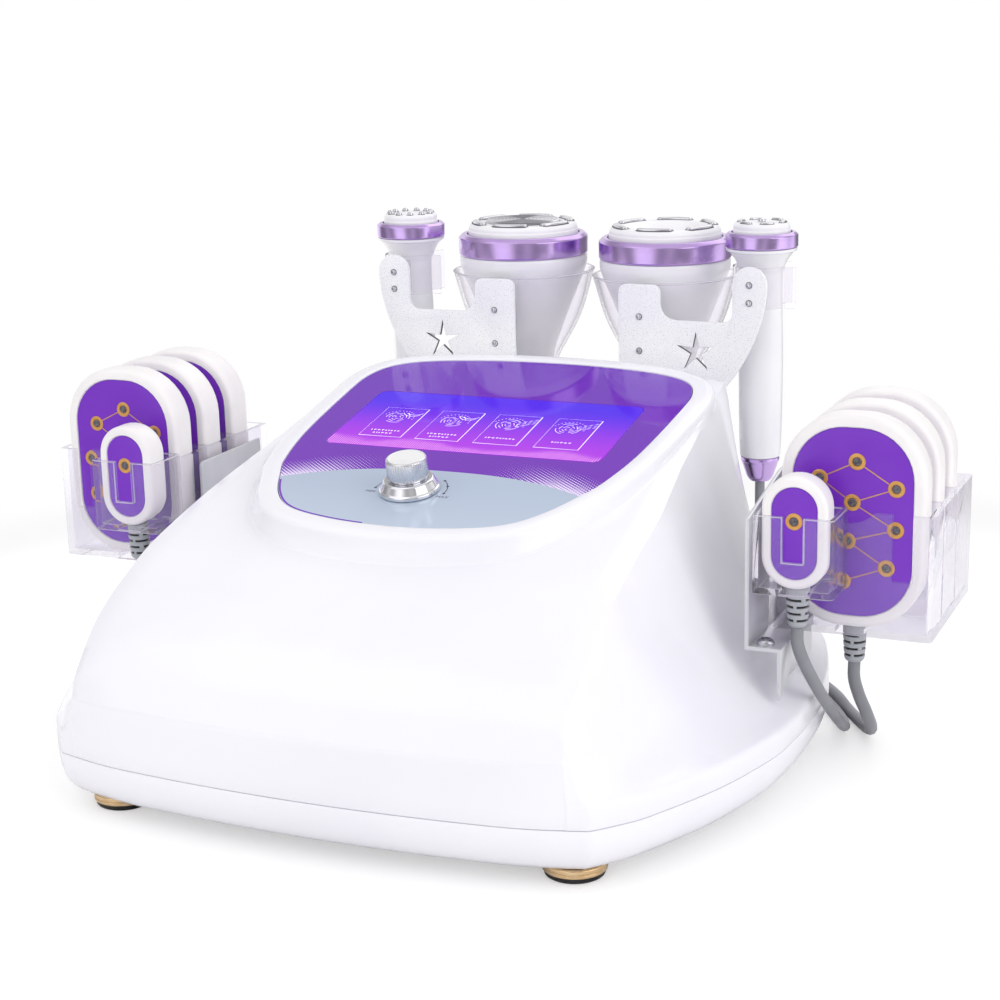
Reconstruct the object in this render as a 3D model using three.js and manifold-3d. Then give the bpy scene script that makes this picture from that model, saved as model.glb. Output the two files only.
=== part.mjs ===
// Desktop beauty machine: a wedge-shaped console with a touch panel and a suction knob,
// a rear rack with two cups and two clips for four hand pieces, and two side holders of light pads.
// Millimetres, +Z up, +X to the operator's right, front towards -Y.
// The origin is on the table, in the middle of the machine's overall depth.
import * as THREE from 'three';
import { mergeVertices } from 'three/addons/utils/BufferGeometryUtils.js';
import Module from 'manifold-3d';

const wasm = await Module();
wasm.setup();

// Clearances and shared values
const seatGap = 0.3; // between pieces that touch
const overrun = 1; // how far a cut runs past the face it opens
const weld = 1e-4;
const frontY = -211.5; // middle of the front edge
const footHeight = 7.5;
const partingZ = 32; // joint between the tray and the housing

// Console housing
const halfWidth = 188.5; // widest place of the console
const rearFaceY = 123;
const flankRun = 64; // how far the flanks stand out from the front shield
const creaseHalfWidth = halfWidth - flankRun;
const creaseTopZ = 169; // highest place of the side creases
const shoulderHeight = 11; // upright band above the joint line
const frontBow = 9; // how far the middle of the front bulges
const crownHeight = 2;
const frontFaceY = frontY + frontBow;
const consoleDepth = rearFaceY - frontFaceY;
const creaseRise = creaseTopZ - partingZ;
// Stations from front to rear, all as shares: place along the depth, how far the shoulder stands
// out from the crease towards the widest place, half width at the crease and height of the crease.
const stationShares = [
  [0.000, 0.022, 1.000, 0.219],
  [0.014, 0.146, 0.997, 0.285],
  [0.027, 0.222, 0.994, 0.338],
  [0.051, 0.323, 0.995, 0.402],
  [0.077, 0.418, 0.998, 0.456],
  [0.112, 0.512, 0.998, 0.511],
  [0.151, 0.609, 0.998, 0.558],
  [0.233, 0.790, 0.996, 0.640],
  [0.349, 0.975, 0.984, 0.718],
  [0.432, 1.046, 0.972, 0.766],
  [0.512, 1.101, 0.948, 0.814],
  [0.591, 1.135, 0.923, 0.860],
  [0.668, 1.112, 0.906, 0.904],
  [0.751, 1.052, 0.881, 0.945],
  [0.825, 0.953, 0.859, 0.978],
  [0.892, 0.782, 0.835, 1.000],
  [0.945, 0.546, 0.811, 1.000],
  [0.978, 0.345, 0.787, 0.971],
  [1.000, 0.171, 0.763, 0.920],
];
const bowEndShare = 0.25; // the bow has faded out at this share of the depth
const crownStartShare = 0.03;
const flankPulls = [[0.46, 0.1], [0.3, 0.5]]; // handles of the flank's curve, as shares of its run and fall
const flankSteps = 5;
const crownSteps = 5;

// Control panel, measured in its own tilted plane from the lower edge of the screen
const panelTilt = THREE.MathUtils.degToRad(11);
const panelOriginY = -28.8;
const panelOriginZ = 152.2;
const panelHalfWidth = 97;
const panelFront = -88;
const panelRear = 125;
const panelThickness = 2.5;
const panelSink = 0.6; // the panel's face lies this far below the rim
const rimWidth = 12;
const rimRound = 3.5;
const rimDepth = 34; // how far the rim's block reaches into the housing
const rimFlare = 7; // the rim spreads towards its foot
// The rim's rounded edge, as shares of its round: how far in and how far down.
const rimEdgeShares = [[0, 2], [0.1, 1], [0.4, 0.3], [1, 0]];
// Half outline of the panel from its front middle to its rear middle: shares of the half width
// and of the length.
const panelShares = [
  [0.00, 0.000], [0.30, 0.011], [0.57, 0.048], [0.725, 0.119], [0.845, 0.232], [0.905, 0.310],
  [0.965, 0.475], [0.995, 0.738], [0.985, 0.849], [0.900, 0.924], [0.700, 0.968], [0.360, 0.993],
  [0.00, 1.000],
];
const outlineSteps = 34; // points round the panel's outline
const screenWidth = 154;
const screenHeight = 72;
const screenThickness = 2.2;
const screenCorner = 5;

// Suction knob
const knobX = -4.5;
const knobPlace = -48; // in the panel's plane
const knobSkirtRadius = 15.3;
const knobSkirtHeight = 6.5;
const knobSkirtEdge = 1.8; // upright edge at the skirt's foot
const knobShoulderRadius = 12; // flat ring on top of the skirt
const knobNeckRadius = 9.2;
const knobNeckHeight = 1.4;
const knobRadius = 10.3;
const knobHeight = 9.6;
const knobTopRound = 1.4;
const knobShaftRadius = 3;
const knobShaftLength = 9;
const knobBore = 4.2;
const knobSides = 20;
const knobKnurls = 12;
const knurlDepth = 0.5;

// Base tray and feet
const trayRound = 20;
const traySteps = 4;
const footRadius = 14.8;
const footPadHeight = 2.6;
const footPadTaper = 1.4;
const footCupInset = 0.6;
const footSides = 14;
const footInset = 70.5; // from the console's widest place to a foot's middle
const footX = halfWidth - footInset;
const frontFootY = -172;
const rearFootY = 72;

// Vent slots in the flanks
const ventCount = 5;
const ventLength = 58;
const ventWidth = 3;
const ventPitch = 11;
const ventDepth = 26;
const ventY = 22;
const ventZ = 96;
const ventLean = THREE.MathUtils.degToRad(32);

// Rear panel with its sockets
const rearPanelWidth = 176;
const rearPanelHeight = 88;
const rearPanelZ = 88; // height of its middle
const rearPanelThickness = 2;
const rearPanelCorner = 6;
const socketCount = 6;
const socketPitch = 24;
const socketRadius = 8;
const socketBore = 5.5;
const socketReach = 6;
const socketDepth = 6;
const socketZ = 64;
const socketSides = 10;
const fanRadius = 24;
const fanBars = 5;
const fanSlot = 4;
const fanInset = 38; // from the panel's edge to the fan's middle
const fanX = fanInset - rearPanelWidth / 2;
const fanZ = 102;
const inletInset = 32; // from the panel's edge to the inlet's middle
const inletX = rearPanelWidth / 2 - inletInset;
const inletZ = 104;
const inletWidth = 28;
const inletHeight = 48;
const inletFlange = 3;
const inletReach = 12;
const inletMouthReach = 10.2;
const inletMouthWidth = 24;
const inletMouthHeight = 16;
const inletMouthDrop = 11; // from the inlet's middle down to the mouth's middle
const rockerWidth = 15;
const rockerHeight = 19;
const rockerDepth = 7;
const rockerLift = 11; // from the inlet's middle up to the rocker
const rockerEase = 0.8; // clear height above and below the rocker
const rockerSink = 0.6;
const rockerTaper = 0.5;
const rockerFoot = 2; // half the width of the rocker's foot
const rockerDish = 1.6; // height of the rocker's middle
const rockerSwell = 1.2; // and of its ends before it tilts
const rockerTilt = THREE.MathUtils.degToRad(7);

// Rear rack
const rackThickness = 3;
const rackInnerX = 32;
const rackTabX = 56.5;
const rackTabTop = 217;
const rackWaistZ = 197.5;
const rackArmInnerX = 98.8;
const rackArmOuterX = 118.2;
const rackArmTop = 229;
const rackWaistX = [64, 92];
const rackLowX = 62;
const rackLowZ = 147;
const rackFootZ = 136;
const rackGapFloor = 158;
const rackRound = 6;
const rackLowRun = 18; // how far the outer curve's last handle stands off its end
const rackCurveSteps = 5;
const starX = 77.8;
const starZ = 180.2;
const starRadius = 11.6;
const starInnerShare = 0.28;
const starPoints = 5;

// Cups of the two large hand pieces
const cupX = 44.4;
const cupRimRadius = 42.3;
const cupWall = 2;
const cupRimZ = 217;
const cupNeckRadius = 19.5;
const cupNeckZ = 163;
const cupFootZ = 150;
const cupTabWidth = 18;
const cupTabLow = 174;
const cupTabHigh = 205;
const cupFlareShare = 0.55; // how far the cup has opened at half its height
const cupSides = 20;
const cupRackClear = 0.6; // from the rack to the cup's rim
const rackFront = rearFaceY + seatGap;
const rackRear = rackFront + rackThickness;
const cupY = rackRear + cupRackClear + cupRimRadius;

// Clips of the two small hand pieces
const clipX = 108.2;
const clipY = 148.3;
const clipRadius = 16;
const clipWall = 2;
const clipLow = 204;
const clipHigh = 227;
const clipMouth = THREE.MathUtils.degToRad(66); // open angle of the clip
const clipMouthTurn = THREE.MathUtils.degToRad(20); // the mouth looks to the right and back
const clipLip = 6;
const clipTabWidth = 13;
const clipSteps = 10; // steps round the clip

// Small hand pieces
const smallNeckRise = 10.3; // from the clip's top to the ring
const smallRingRadius = 20.2;
const smallRingHeight = 8.3;
const smallRingEdge = 1;
const smallHeadRadius = 16;
const smallHeadRise = 5.3; // from the ring's top to the head's face
const smallHeadRound = 1.6;
const smallPlugRadius = 13; // the body's plug inside the ring
const smallSeatDrop = 1.9; // from the ring's top down to the head's seat
const smallPlugDrop = 2.3; // from the ring's top down to the plug's top
const smallBodyRadius = 12.2;
const smallNeckRadius = 12.8;
const smallBodyEnd = 118;
const smallTailEnd = 103.5;
const smallTailRadius = 7;
const smallTailRun = 10.5; // height over which the tail widens
const smallBodyRuns = [22, 60]; // places of the body's slight swell above its end
const smallBodyShares = [0.86, 0.95, 1, 1.03]; // radii of the body, from its end upwards
const smallFlangeHeight = 3;
const smallFlangeShares = [0.9, 0.97];
const smallConeRun = 3; // the neck widens over this height inside the clip
const smallBodySides = 16;
const smallRingSides = 18;
const studRing = 12.2;
const studRadius = 1.7;
const studHeight = 1.8;
const studCount = 11;
const studSides = 5;
const barCount = 6;
const barWidth = 3.2;
const barRise = 1;
const barArc = THREE.MathUtils.degToRad(38);
const barSteps = 2;

// Large hand pieces
const bigNeckRise = 9.5; // from the cup's rim to the ring
const bigRingRadius = 38.4;
const bigRingHeight = 12.2;
const bigRingEdge = 1.4;
const bigHeadRadius = 32.6;
const bigHeadRise = 6.3; // from the ring's top to the head's face
const bigHeadRound = 2.4;
const bigPlugRadius = 28.6; // the body's plug inside the ring
const bigSeatDrop = 4.4; // from the ring's top down to the head's seat
const bigPlugDrop = 5; // from the ring's top down to the plug's top
const ringLip = 1; // clear width round a head, where it sinks into its ring
const bigBodyTop = 38;
const bigBodyShares = [0.73, 0.93]; // radii of the body on its way up the cup, of its top radius
const bigBodyRises = [32, 50]; // their places above the cup's neck
const bigGripRadius = 16.4;
const bigGripShare = 1.12;
const bigGripZ = 160;
const bigBodyEnd = 128;
const bigEndRadius = 13.5;
const bigEndShare = 1.15;
const bigEndRun = 12;
const bigBodySides = 20;
const bigRingSides = 22;
const transducerRadius = 22.2;
const transducerRise = 1.6;
const transducerRings = 4;
const transducerGroove = 0.7;
const transducerSides = 18;
const electrodeRing = 27.8;
const electrodeWidth = 4.4;
const electrodeRise = 1.4;
const electrodeArc = THREE.MathUtils.degToRad(44);
const electrodeTurn = THREE.MathUtils.degToRad(36);
const vacuumRadius = 20;
const vacuumDepth = 9;
const vacuumShares = [0.6, 0.92]; // radii of the bowl, from its floor upwards
const vacuumLip = 1;
const vacuumSides = 18;
const bigElectrodes = 6;
const smallRingLow = clipHigh + smallNeckRise;
const smallRingHigh = smallRingLow + smallRingHeight;
const smallHeadTop = smallRingHigh + smallHeadRise;
const bigRingLow = cupRimZ + bigNeckRise;
const bigRingHigh = bigRingLow + bigRingHeight;
const bigHeadTop = bigRingHigh + bigHeadRise;

// Light pads
const bigPadWidth = 70;
const bigPadHeight = 104;
const bigPadThickness = 22;
const bigPadCorner = 31;
const bigPadRound = 4.5;
const bigFaceMargin = 5.6;
const smallPadWidth = 32;
const smallPadHeight = 54.6;
const smallPadThickness = 18;
const smallPadCorner = 15.9;
const smallPadRound = 4;
const smallFaceMargin = 4.7;
const faceThickness = 1.4;
const faceSink = 1;
const padCornerSteps = 5;
const smallPadCornerSteps = 4;
const hiddenPadCornerSteps = 3;
const padEdgeSteps = 2;

// Side holders
const bracketInset = 26.5; // from the console's widest place in to the bracket's upright
const bracketThickness = 2;
const flangeInset = 10.5; // from the console's widest place in to the bracket's flange
const bracketX = halfWidth - bracketInset;
const bracketFlangeX = halfWidth - flangeInset;
const boxWall = 3;
const boxFloor = 2.7;
const bigBoxWidth = 80;
const boxClear = 0.4; // between the bracket and the boxes
const bigBoxCentreX = bracketX + bracketThickness + boxClear + bigBoxWidth / 2;
const bigBoxBottom = 75.8;
const bigBoxHeight = 61;
const bigBoxFrontY = -30;
const slotFree = 5.2; // free depth in front of or behind a pad in its slot
const slotCount = 3;
const boxCorner = 2.5;
const boxCornerSteps = 3;
const floorSlotWidth = 14;
const frontDipWidth = 26;
const frontDipDepth = 6;
const cableSlotWidth = 10;
const cableSlotDepth = 33;
const cableSlotShift = 25;
const smallBoxWidth = 39.4;
const smallBoxBottom = 100.9;
const smallBoxHeight = 38.5;
const smallSlotFree = 5.2;
const smallBoxWall = 2.5;
const smallCableSlotDepth = 22;
const bracketFrontY = -61;
const bracketRearY = 50;
const bracketFrontTop = 138;
const bracketTop = 149;
const bracketSlopeEnd = -4;
const leftBracketStepY = -14; // the left bracket is low in front of this place
const leftBracketStepZ = 98;
const leftBracketTop = 131;
const bracketFlangeLow = 49.5;
const bracketFlangeRear = -4;
const flangeTipRun = 16;
const bossLow = 38;
const bossHigh = 69;
const bossFrontY = -50;
const bossRearY = -10;

// Strain reliefs and leads
const reliefRadius = 5.8;
const reliefEndRadius = 4.4;
const reliefLength = 20;
const reliefGrooves = 3;
const reliefGrooveWidth = 1.6;
const reliefGrooveDepth = 0.9;
const reliefSides = 8;
const cordDiameter = 6.2;
const handleCordDiameter = 5.6;
const leadSides = 8;
const coilSides = 6;
const coilSteps = 16; // steps in one turn
const coilClearance = 0.8; // between a coil's turns
const coilMiddleShare = 5.5; // middle radius of a coil, in cord diameters
const coilClimbShare = 0.25; // turns on either side of the reversal in which the coil climbs
const coilSwingShare = 0.5; // turns in which the last end swings out
const coilDropShare = 0.25; // turns in which it comes down
const coilTailSpread = 9.5;
const coilY = 182;
const handleCoilX = 66;
const bigCoilX = -28;
const smallCoilX = -122;
const padCoilTurns = 3.25;
const handleCoilTurns = 5.25;
const tableGap = 0.1;
const connectorRadius = 6.2;
const connectorLength = 34;
const connectorPinRadius = 4.2;
const connectorPinLength = 9;
// The connector's outline: places along its length and radii, as shares.
const connectorShares = [[0, 0.62], [0.3, 1], [0.88, 1], [1, 0.9]];
const connectorSides = 10;
const smallLeadSteps = 32;
const bigLeadSteps = 29;
const handleLeadSteps = 12;

const finish = (color, roughness, metalness = 0, opacity = 1) =>
  new THREE.MeshStandardMaterial({ color, roughness, metalness, opacity, transparent: opacity < 1 });
const glossWhite = finish(0xf3f3f8, 0.22);
const screenBlue = finish(0x5a2bff, 0.15);
const acrylicPurple = finish(0x6a2fb5, 0.08);
const satinSilver = finish(0xc9c9cc, 0.3, 1);
const plateWhite = finish(0xe9e9ee, 0.6);
const anodisedPurple = finish(0x8a5fc4, 0.28, 0.9);
const chrome = finish(0xd8d8dc, 0.1, 1);
const brass = finish(0xc9a46a, 0.3, 1);
const clearPlastic = finish(0xe6e6ea, 0.08, 0, 0.35);
const padWhite = finish(0xf4f1f2, 0.4);
const padPurple = finish(0x5b2aa0, 0.25);
const sheetSteel = finish(0xbfc1c6, 0.4, 0.9);
const greyRubber = finish(0x85888e, 0.6);
const darkRubber = finish(0x3a3b40, 0.6);
const blackPlastic = finish(0x1c1c20, 0.5);

const machine = new THREE.Group();

// Shape helpers

function cleaned(geometry) {
  const bare = geometry.clone();
  for (const name of Object.keys(bare.attributes)) {
    if (name !== 'position') bare.deleteAttribute(name);
  }
  const merged = mergeVertices(bare, weld);
  const corners = merged.index.array;
  const kept = [];
  for (let i = 0; i < corners.length; i += 3) {
    const [a, b, c] = [corners[i], corners[i + 1], corners[i + 2]];
    if (a !== b && b !== c && c !== a) kept.push(a, b, c);
  }
  const place = merged.attributes.position;
  const [p, q, r] = [new THREE.Vector3(), new THREE.Vector3(), new THREE.Vector3()];
  let volume = 0;
  for (let i = 0; i < kept.length; i += 3) {
    p.fromBufferAttribute(place, kept[i]);
    q.fromBufferAttribute(place, kept[i + 1]);
    r.fromBufferAttribute(place, kept[i + 2]);
    volume += p.dot(q.cross(r));
  }
  if (volume < 0) kept.reverse();
  merged.setIndex(kept);
  return merged;
}

function toSolid(geometry) {
  const closed = cleaned(geometry);
  const mesh = new wasm.Mesh({
    numProp: 3,
    vertProperties: Float32Array.from(closed.attributes.position.array),
    triVerts: Uint32Array.from(closed.index.array),
  });
  return new wasm.Manifold(mesh);
}

function toGeometry(solid) {
  const mesh = solid.getMesh();
  const geometry = new THREE.BufferGeometry();
  geometry.setAttribute('position', new THREE.BufferAttribute(Float32Array.from(mesh.vertProperties), 3));
  geometry.setIndex(Array.from(mesh.triVerts));
  return geometry;
}

function cut(base, ...tools) {
  let solid = toSolid(base);
  for (const tool of tools) solid = solid.subtract(toSolid(tool));
  return toGeometry(solid);
}

function join(base, ...others) {
  let solid = toSolid(base);
  for (const other of others) solid = solid.add(toSolid(other));
  return toGeometry(solid);
}

function add(parent, name, geometry, material) {
  const closed = cleaned(geometry);
  closed.computeVertexNormals();
  const mesh = new THREE.Mesh(closed, material);
  mesh.name = name;
  parent.add(mesh);
  return mesh;
}

// A body turned about Z: profile points are [radius, height] and start and end on the axis or close.
function turned(profile, sides) {
  const points = profile.map(([radius, height]) => new THREE.Vector2(radius, height));
  return new THREE.LatheGeometry(points, sides).rotateX(Math.PI / 2);
}

function disc(radius, low, high, sides) {
  return turned([[0, low], [radius, low], [radius, high], [0, high]], sides);
}

function block(lowCorner, highCorner) {
  const size = highCorner.map((value, axis) => value - lowCorner[axis]);
  const middle = highCorner.map((value, axis) => (value + lowCorner[axis]) / 2);
  return new THREE.BoxGeometry(...size).translate(...middle);
}

function roundedPoints(width, height, radius, segments) {
  const [w, h] = [width / 2, height / 2];
  const r = Math.min(radius, w - weld, h - weld);
  const corners = [[w - r, h - r], [r - w, h - r], [r - w, r - h], [w - r, r - h]];
  return corners.flatMap(([x, y], turn) => Array.from({ length: segments + 1 }, (_, i) => {
    const angle = (turn + i / segments) * (Math.PI / 2);
    return [x + r * Math.cos(angle), y + r * Math.sin(angle)];
  }));
}

function roundedShape(width, height, radius, segments = 4) {
  return polygon(roundedPoints(width, height, radius, segments));
}

function extruded(shape, low, high, curveSegments = 6) {
  const geometry = new THREE.ExtrudeGeometry(shape, {
    depth: high - low, bevelEnabled: false, curveSegments, steps: 1,
  });
  return geometry.translate(0, 0, low);
}

// An outline drawn in X and Z, given thickness from front to rear along Y.
function standing(shape, front, rear) {
  return extruded(shape, -rear, -front).rotateX(Math.PI / 2);
}

// A flat body with round corners, whose front and rear edges are rounded too.
function pillow(width, height, thickness, corner, edge, segments, edgeSteps) {
  const level = (turn, z) => ({
    points: roundedPoints(
      width - 2 * edge * (1 - Math.sin(turn)), height - 2 * edge * (1 - Math.sin(turn)),
      corner - edge * (1 - Math.sin(turn)), segments),
    z,
  });
  const turns = Array.from({ length: edgeSteps + 1 }, (_, i) => (i / edgeSteps) * (Math.PI / 2));
  return stacked([
    ...turns.map((turn) => level(turn, edge * (1 - Math.cos(turn)))),
    ...turns.reverse().map((turn) => level(turn, thickness - edge * (1 - Math.cos(turn)))),
  ]);
}

function polygon(points) {
  return new THREE.Shape(points.map(([x, y]) => new THREE.Vector2(x, y)));
}

function mirrored(geometry, side) {
  return side < 0 ? geometry.scale(-1, 1, 1) : geometry;
}

// Rings of points joined into one skin; strips close the two ends column by column.
function skinned(rings) {
  const count = rings[0].length;
  const places = rings.flat(2);
  const corners = [];
  for (let j = 0; j + 1 < rings.length; j += 1) {
    for (let i = 0; i < count; i += 1) {
      const [a, b] = [j * count + i, j * count + ((i + 1) % count)];
      corners.push(a, b, b + count, a, b + count, a + count);
    }
  }
  const last = (rings.length - 1) * count;
  for (let i = 0; i + 1 < count / 2; i += 1) {
    const [a, b, c, d] = [i, i + 1, count - 2 - i, count - 1 - i];
    corners.push(a, c, b, a, d, c);
    corners.push(last + a, last + b, last + c, last + a, last + c, last + d);
  }
  const geometry = new THREE.BufferGeometry();
  geometry.setAttribute('position', new THREE.Float32BufferAttribute(places, 3));
  geometry.setIndex(corners);
  return geometry;
}

// Console stations in real sizes

const stations = stationShares.map(([depthShare, spreadShare, creaseShare, riseShare]) => {
  const fade = THREE.MathUtils.smoothstep(depthShare, 0, bowEndShare);
  const creaseX = creaseHalfWidth * creaseShare;
  return {
    y: frontFaceY + depthShare * consoleDepth,
    shoulderX: creaseX + flankRun * spreadShare,
    creaseX,
    creaseZ: partingZ + creaseRise * riseShare,
    bow: frontBow * (1 - fade),
    crown: crownHeight * THREE.MathUtils.smoothstep(depthShare, crownStartShare, bowEndShare),
  };
});

function stationBehind(y) {
  return stations.find((row) => row.y >= y);
}

// Points across a station from the right shoulder to the left one.
function acrossStation(row, shoulderZ) {
  const crease = new THREE.Vector2(row.creaseX, row.creaseZ);
  const shoulder = new THREE.Vector2(row.shoulderX, shoulderZ);
  const [run, fall] = [shoulder.x - crease.x, crease.y - shoulder.y];
  const flank = new THREE.CubicBezierCurve(
    shoulder,
    ...flankPulls.map(([out, up]) => new THREE.Vector2(crease.x + out * run, shoulder.y + up * fall)),
    crease,
  ).getPoints(flankSteps);
  const right = flank.map((p) => [p.x, row.y, p.y]);
  const middle = [];
  for (let i = 1; i < crownSteps; i += 1) {
    const across = 1 - (2 * i) / crownSteps;
    const swell = 1 - across * across;
    middle.push([
      crease.x * across,
      row.y - row.bow * swell,
      crease.y + row.crown * swell,
    ]);
  }
  const left = right.map(([x, y, z]) => [-x, y, z]).reverse();
  return [...right, ...middle, ...left];
}

function housingForm() {
  const low = partingZ + seatGap / 2;
  const rings = stations.map((row) => {
    const upper = acrossStation(row, partingZ + shoulderHeight);
    const lower = upper.map(([x, y]) => [x, y, low]).reverse();
    return [...upper, ...lower];
  });
  return skinned(rings);
}

// Plan outline of the console at the joint line, pulled in by an inset.
function planOutline(inset) {
  const side = stations.map((row) => [row.shoulderX, row.y]);
  const front = acrossStation(stations[0], partingZ)
    .filter(([x]) => Math.abs(x) < stations[0].creaseX)
    .map(([x, y]) => [x, y])
    .reverse();
  const points = [...front, ...side, ...side.map(([x, y]) => [-x, y]).reverse()];
  const middleY = (frontFaceY + rearFaceY) / 2;
  const [across, along] = [1 - inset / halfWidth, 1 - (2 * inset) / consoleDepth];
  return points.map(([x, y]) => [x * across, middleY + (y - middleY) * along]);
}

function panelOutline(spread) {
  const length = panelRear - panelFront;
  const half = panelShares.map(([across, along]) => new THREE.Vector2(
    panelHalfWidth * across, panelFront + length * along));
  const whole = [...half, ...half.slice(1, -1).reverse().map((p) => new THREE.Vector2(-p.x, p.y))];
  const curve = new THREE.CatmullRomCurve3(whole.map((p) => new THREE.Vector3(p.x, p.y, 0)), true);
  const points = curve.getPoints(outlineSteps).slice(0, -1);
  return points.map((point, i) => {
    const before = points[(i + points.length - 1) % points.length];
    const after = points[(i + 1) % points.length];
    const along = new THREE.Vector2(after.x - before.x, after.y - before.y).normalize();
    return [point.x + along.y * spread, point.y - along.x * spread];
  });
}

// Rings of one closed outline at several heights, capped flat at both ends.
function stacked(levels) {
  const count = levels[0].points.length;
  const places = levels.flatMap(({ points, z }) => points.flatMap(([x, y]) => [x, y, z]));
  const corners = [];
  for (let j = 0; j + 1 < levels.length; j += 1) {
    for (let i = 0; i < count; i += 1) {
      const [a, b] = [j * count + i, j * count + ((i + 1) % count)];
      corners.push(a, b, b + count, a, b + count, a + count);
    }
  }
  const flat = (points) => points.map(([x, y]) => new THREE.Vector2(x, y));
  for (const [a, b, c] of THREE.ShapeUtils.triangulateShape(flat(levels[0].points), [])) {
    corners.push(a, c, b);
  }
  const last = (levels.length - 1) * count;
  for (const [a, b, c] of THREE.ShapeUtils.triangulateShape(flat(levels.at(-1).points), [])) {
    corners.push(last + a, last + b, last + c);
  }
  const geometry = new THREE.BufferGeometry();
  geometry.setAttribute('position', new THREE.Float32BufferAttribute(places, 3));
  geometry.setIndex(corners);
  return geometry;
}

const panelGroup = new THREE.Group();
panelGroup.position.set(0, panelOriginY, panelOriginZ);
panelGroup.rotation.x = panelTilt;
panelGroup.updateMatrix();
machine.add(panelGroup);
const onPanel = (geometry) => geometry.applyMatrix4(panelGroup.matrix);
const screenMiddle = screenHeight / 2;

// Console

function rimBlock() {
  return stacked([
    { points: panelOutline(rimWidth + rimFlare), z: -rimDepth },
    ...rimEdgeShares.map(([inward, down]) => (
      { points: panelOutline(rimWidth - rimRound * inward), z: -rimRound * down })),
  ]);
}

const ventCuts = [-1, 1].flatMap((side) => Array.from({ length: ventCount }, (_, i) => {
  const slot = extruded(roundedShape(ventLength, ventWidth, ventWidth / 2, 1), -ventDepth / 2, ventDepth / 2);
  slot.rotateX(Math.PI / 2).rotateZ(Math.PI / 2).rotateX(-ventLean);
  slot.translate(0, 0, (i - (ventCount - 1) / 2) * ventPitch);
  const row = stationBehind(ventY);
  const reach = (row.shoulderX + 2 * row.creaseX) / 3;
  return slot.translate(side * reach, ventY, ventZ);
}));

function housing() {
  const boss = (side) => mirrored(block(
    [stationBehind(bossFrontY).creaseX, bossFrontY, bossLow],
    [bracketFlangeX - seatGap, bossRearY, bossHigh]), side);
  let body = join(housingForm(), onPanel(rimBlock()), boss(1), boss(-1));
  const recess = stacked([
    { points: panelOutline(seatGap), z: -panelSink - panelThickness - seatGap },
    { points: panelOutline(seatGap), z: overrun },
  ]);
  const screenWell = extruded(roundedShape(screenWidth, screenHeight, screenCorner),
    -panelSink - panelThickness - screenThickness, 0).translate(0, screenMiddle, 0);
  const knobWell = disc(knobBore + seatGap, -panelSink - knobShaftLength - overrun, 0, knobSides)
    .translate(knobX, knobPlace, 0);
  const rearRecess = standing(roundedShape(
    rearPanelWidth + 2 * seatGap, rearPanelHeight + 2 * seatGap, rearPanelCorner + seatGap),
  rearFaceY - rearPanelThickness - seatGap, rearFaceY + overrun).translate(0, 0, rearPanelZ);
  const inletWell = block(
    [inletX - inletWidth / 2 - seatGap, rearFaceY - inletReach - 2 * seatGap,
      inletZ - inletHeight / 2 - seatGap],
    [inletX + inletWidth / 2 + seatGap, rearFaceY, inletZ + inletHeight / 2 + seatGap]);
  body = cut(body, onPanel(recess), onPanel(screenWell), onPanel(knobWell), rearRecess, inletWell,
    ...ventCuts);
  return body;
}

function tray() {
  const levels = [];
  for (let i = 0; i <= traySteps; i += 1) {
    const turn = (i / traySteps) * (Math.PI / 2);
    levels.push({
      points: planOutline(trayRound * (1 - Math.sin(turn))),
      z: footHeight + trayRound * (1 - Math.cos(turn)),
    });
  }
  levels.push({ points: planOutline(0), z: partingZ - seatGap / 2 });
  return stacked(levels);
}

add(machine, 'base_tray', tray(), glossWhite);
add(machine, 'upper_housing', housing(), glossWhite);

const panelPlate = cut(
  stacked([
    { points: panelOutline(0), z: -panelSink - panelThickness },
    { points: panelOutline(0), z: -panelSink },
  ]),
  extruded(roundedShape(screenWidth + 2 * seatGap, screenHeight + 2 * seatGap, screenCorner + seatGap),
    -panelSink - panelThickness - overrun, overrun).translate(0, screenMiddle, 0),
  disc(knobBore, -panelSink - panelThickness - overrun, overrun, knobSides).translate(knobX, knobPlace, 0),
);
add(panelGroup, 'control_panel', panelPlate, acrylicPurple);
const screen = extruded(roundedShape(screenWidth, screenHeight, screenCorner),
  -panelSink - screenThickness, -panelSink).translate(0, screenMiddle, 0);
add(panelGroup, 'touch_screen', screen, screenBlue);

// Knob: the skirt, the knurled cap and the shaft turn as one piece.
function knobForm() {
  const low = -panelSink + seatGap;
  const shoulder = low + knobSkirtHeight;
  const neck = shoulder + knobNeckHeight;
  const top = neck + knobHeight;
  const body = turned([
    [0, low - knobShaftLength], [knobShaftRadius, low - knobShaftLength], [knobShaftRadius, low],
    [knobSkirtRadius, low], [knobSkirtRadius, low + knobSkirtEdge], [knobShoulderRadius, shoulder],
    [knobNeckRadius, shoulder], [knobNeckRadius, neck], [0, neck],
  ], knobSides);
  const teeth = (radius) => Array.from({ length: 2 * knobKnurls }, (_, i) => {
    const angle = (i / knobKnurls) * Math.PI;
    const reach = radius - (i % 2) * knurlDepth;
    return [reach * Math.cos(angle), reach * Math.sin(angle)];
  });
  const cap = stacked([
    { points: teeth(knobRadius), z: neck - seatGap },
    { points: teeth(knobRadius), z: top - knobTopRound / 2 },
    { points: teeth(knobRadius - knobTopRound), z: top },
  ]);
  return join(body, cap).translate(knobX, knobPlace, 0);
}
add(panelGroup, 'suction_knob', knobForm(), satinSilver);

// Feet

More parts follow.
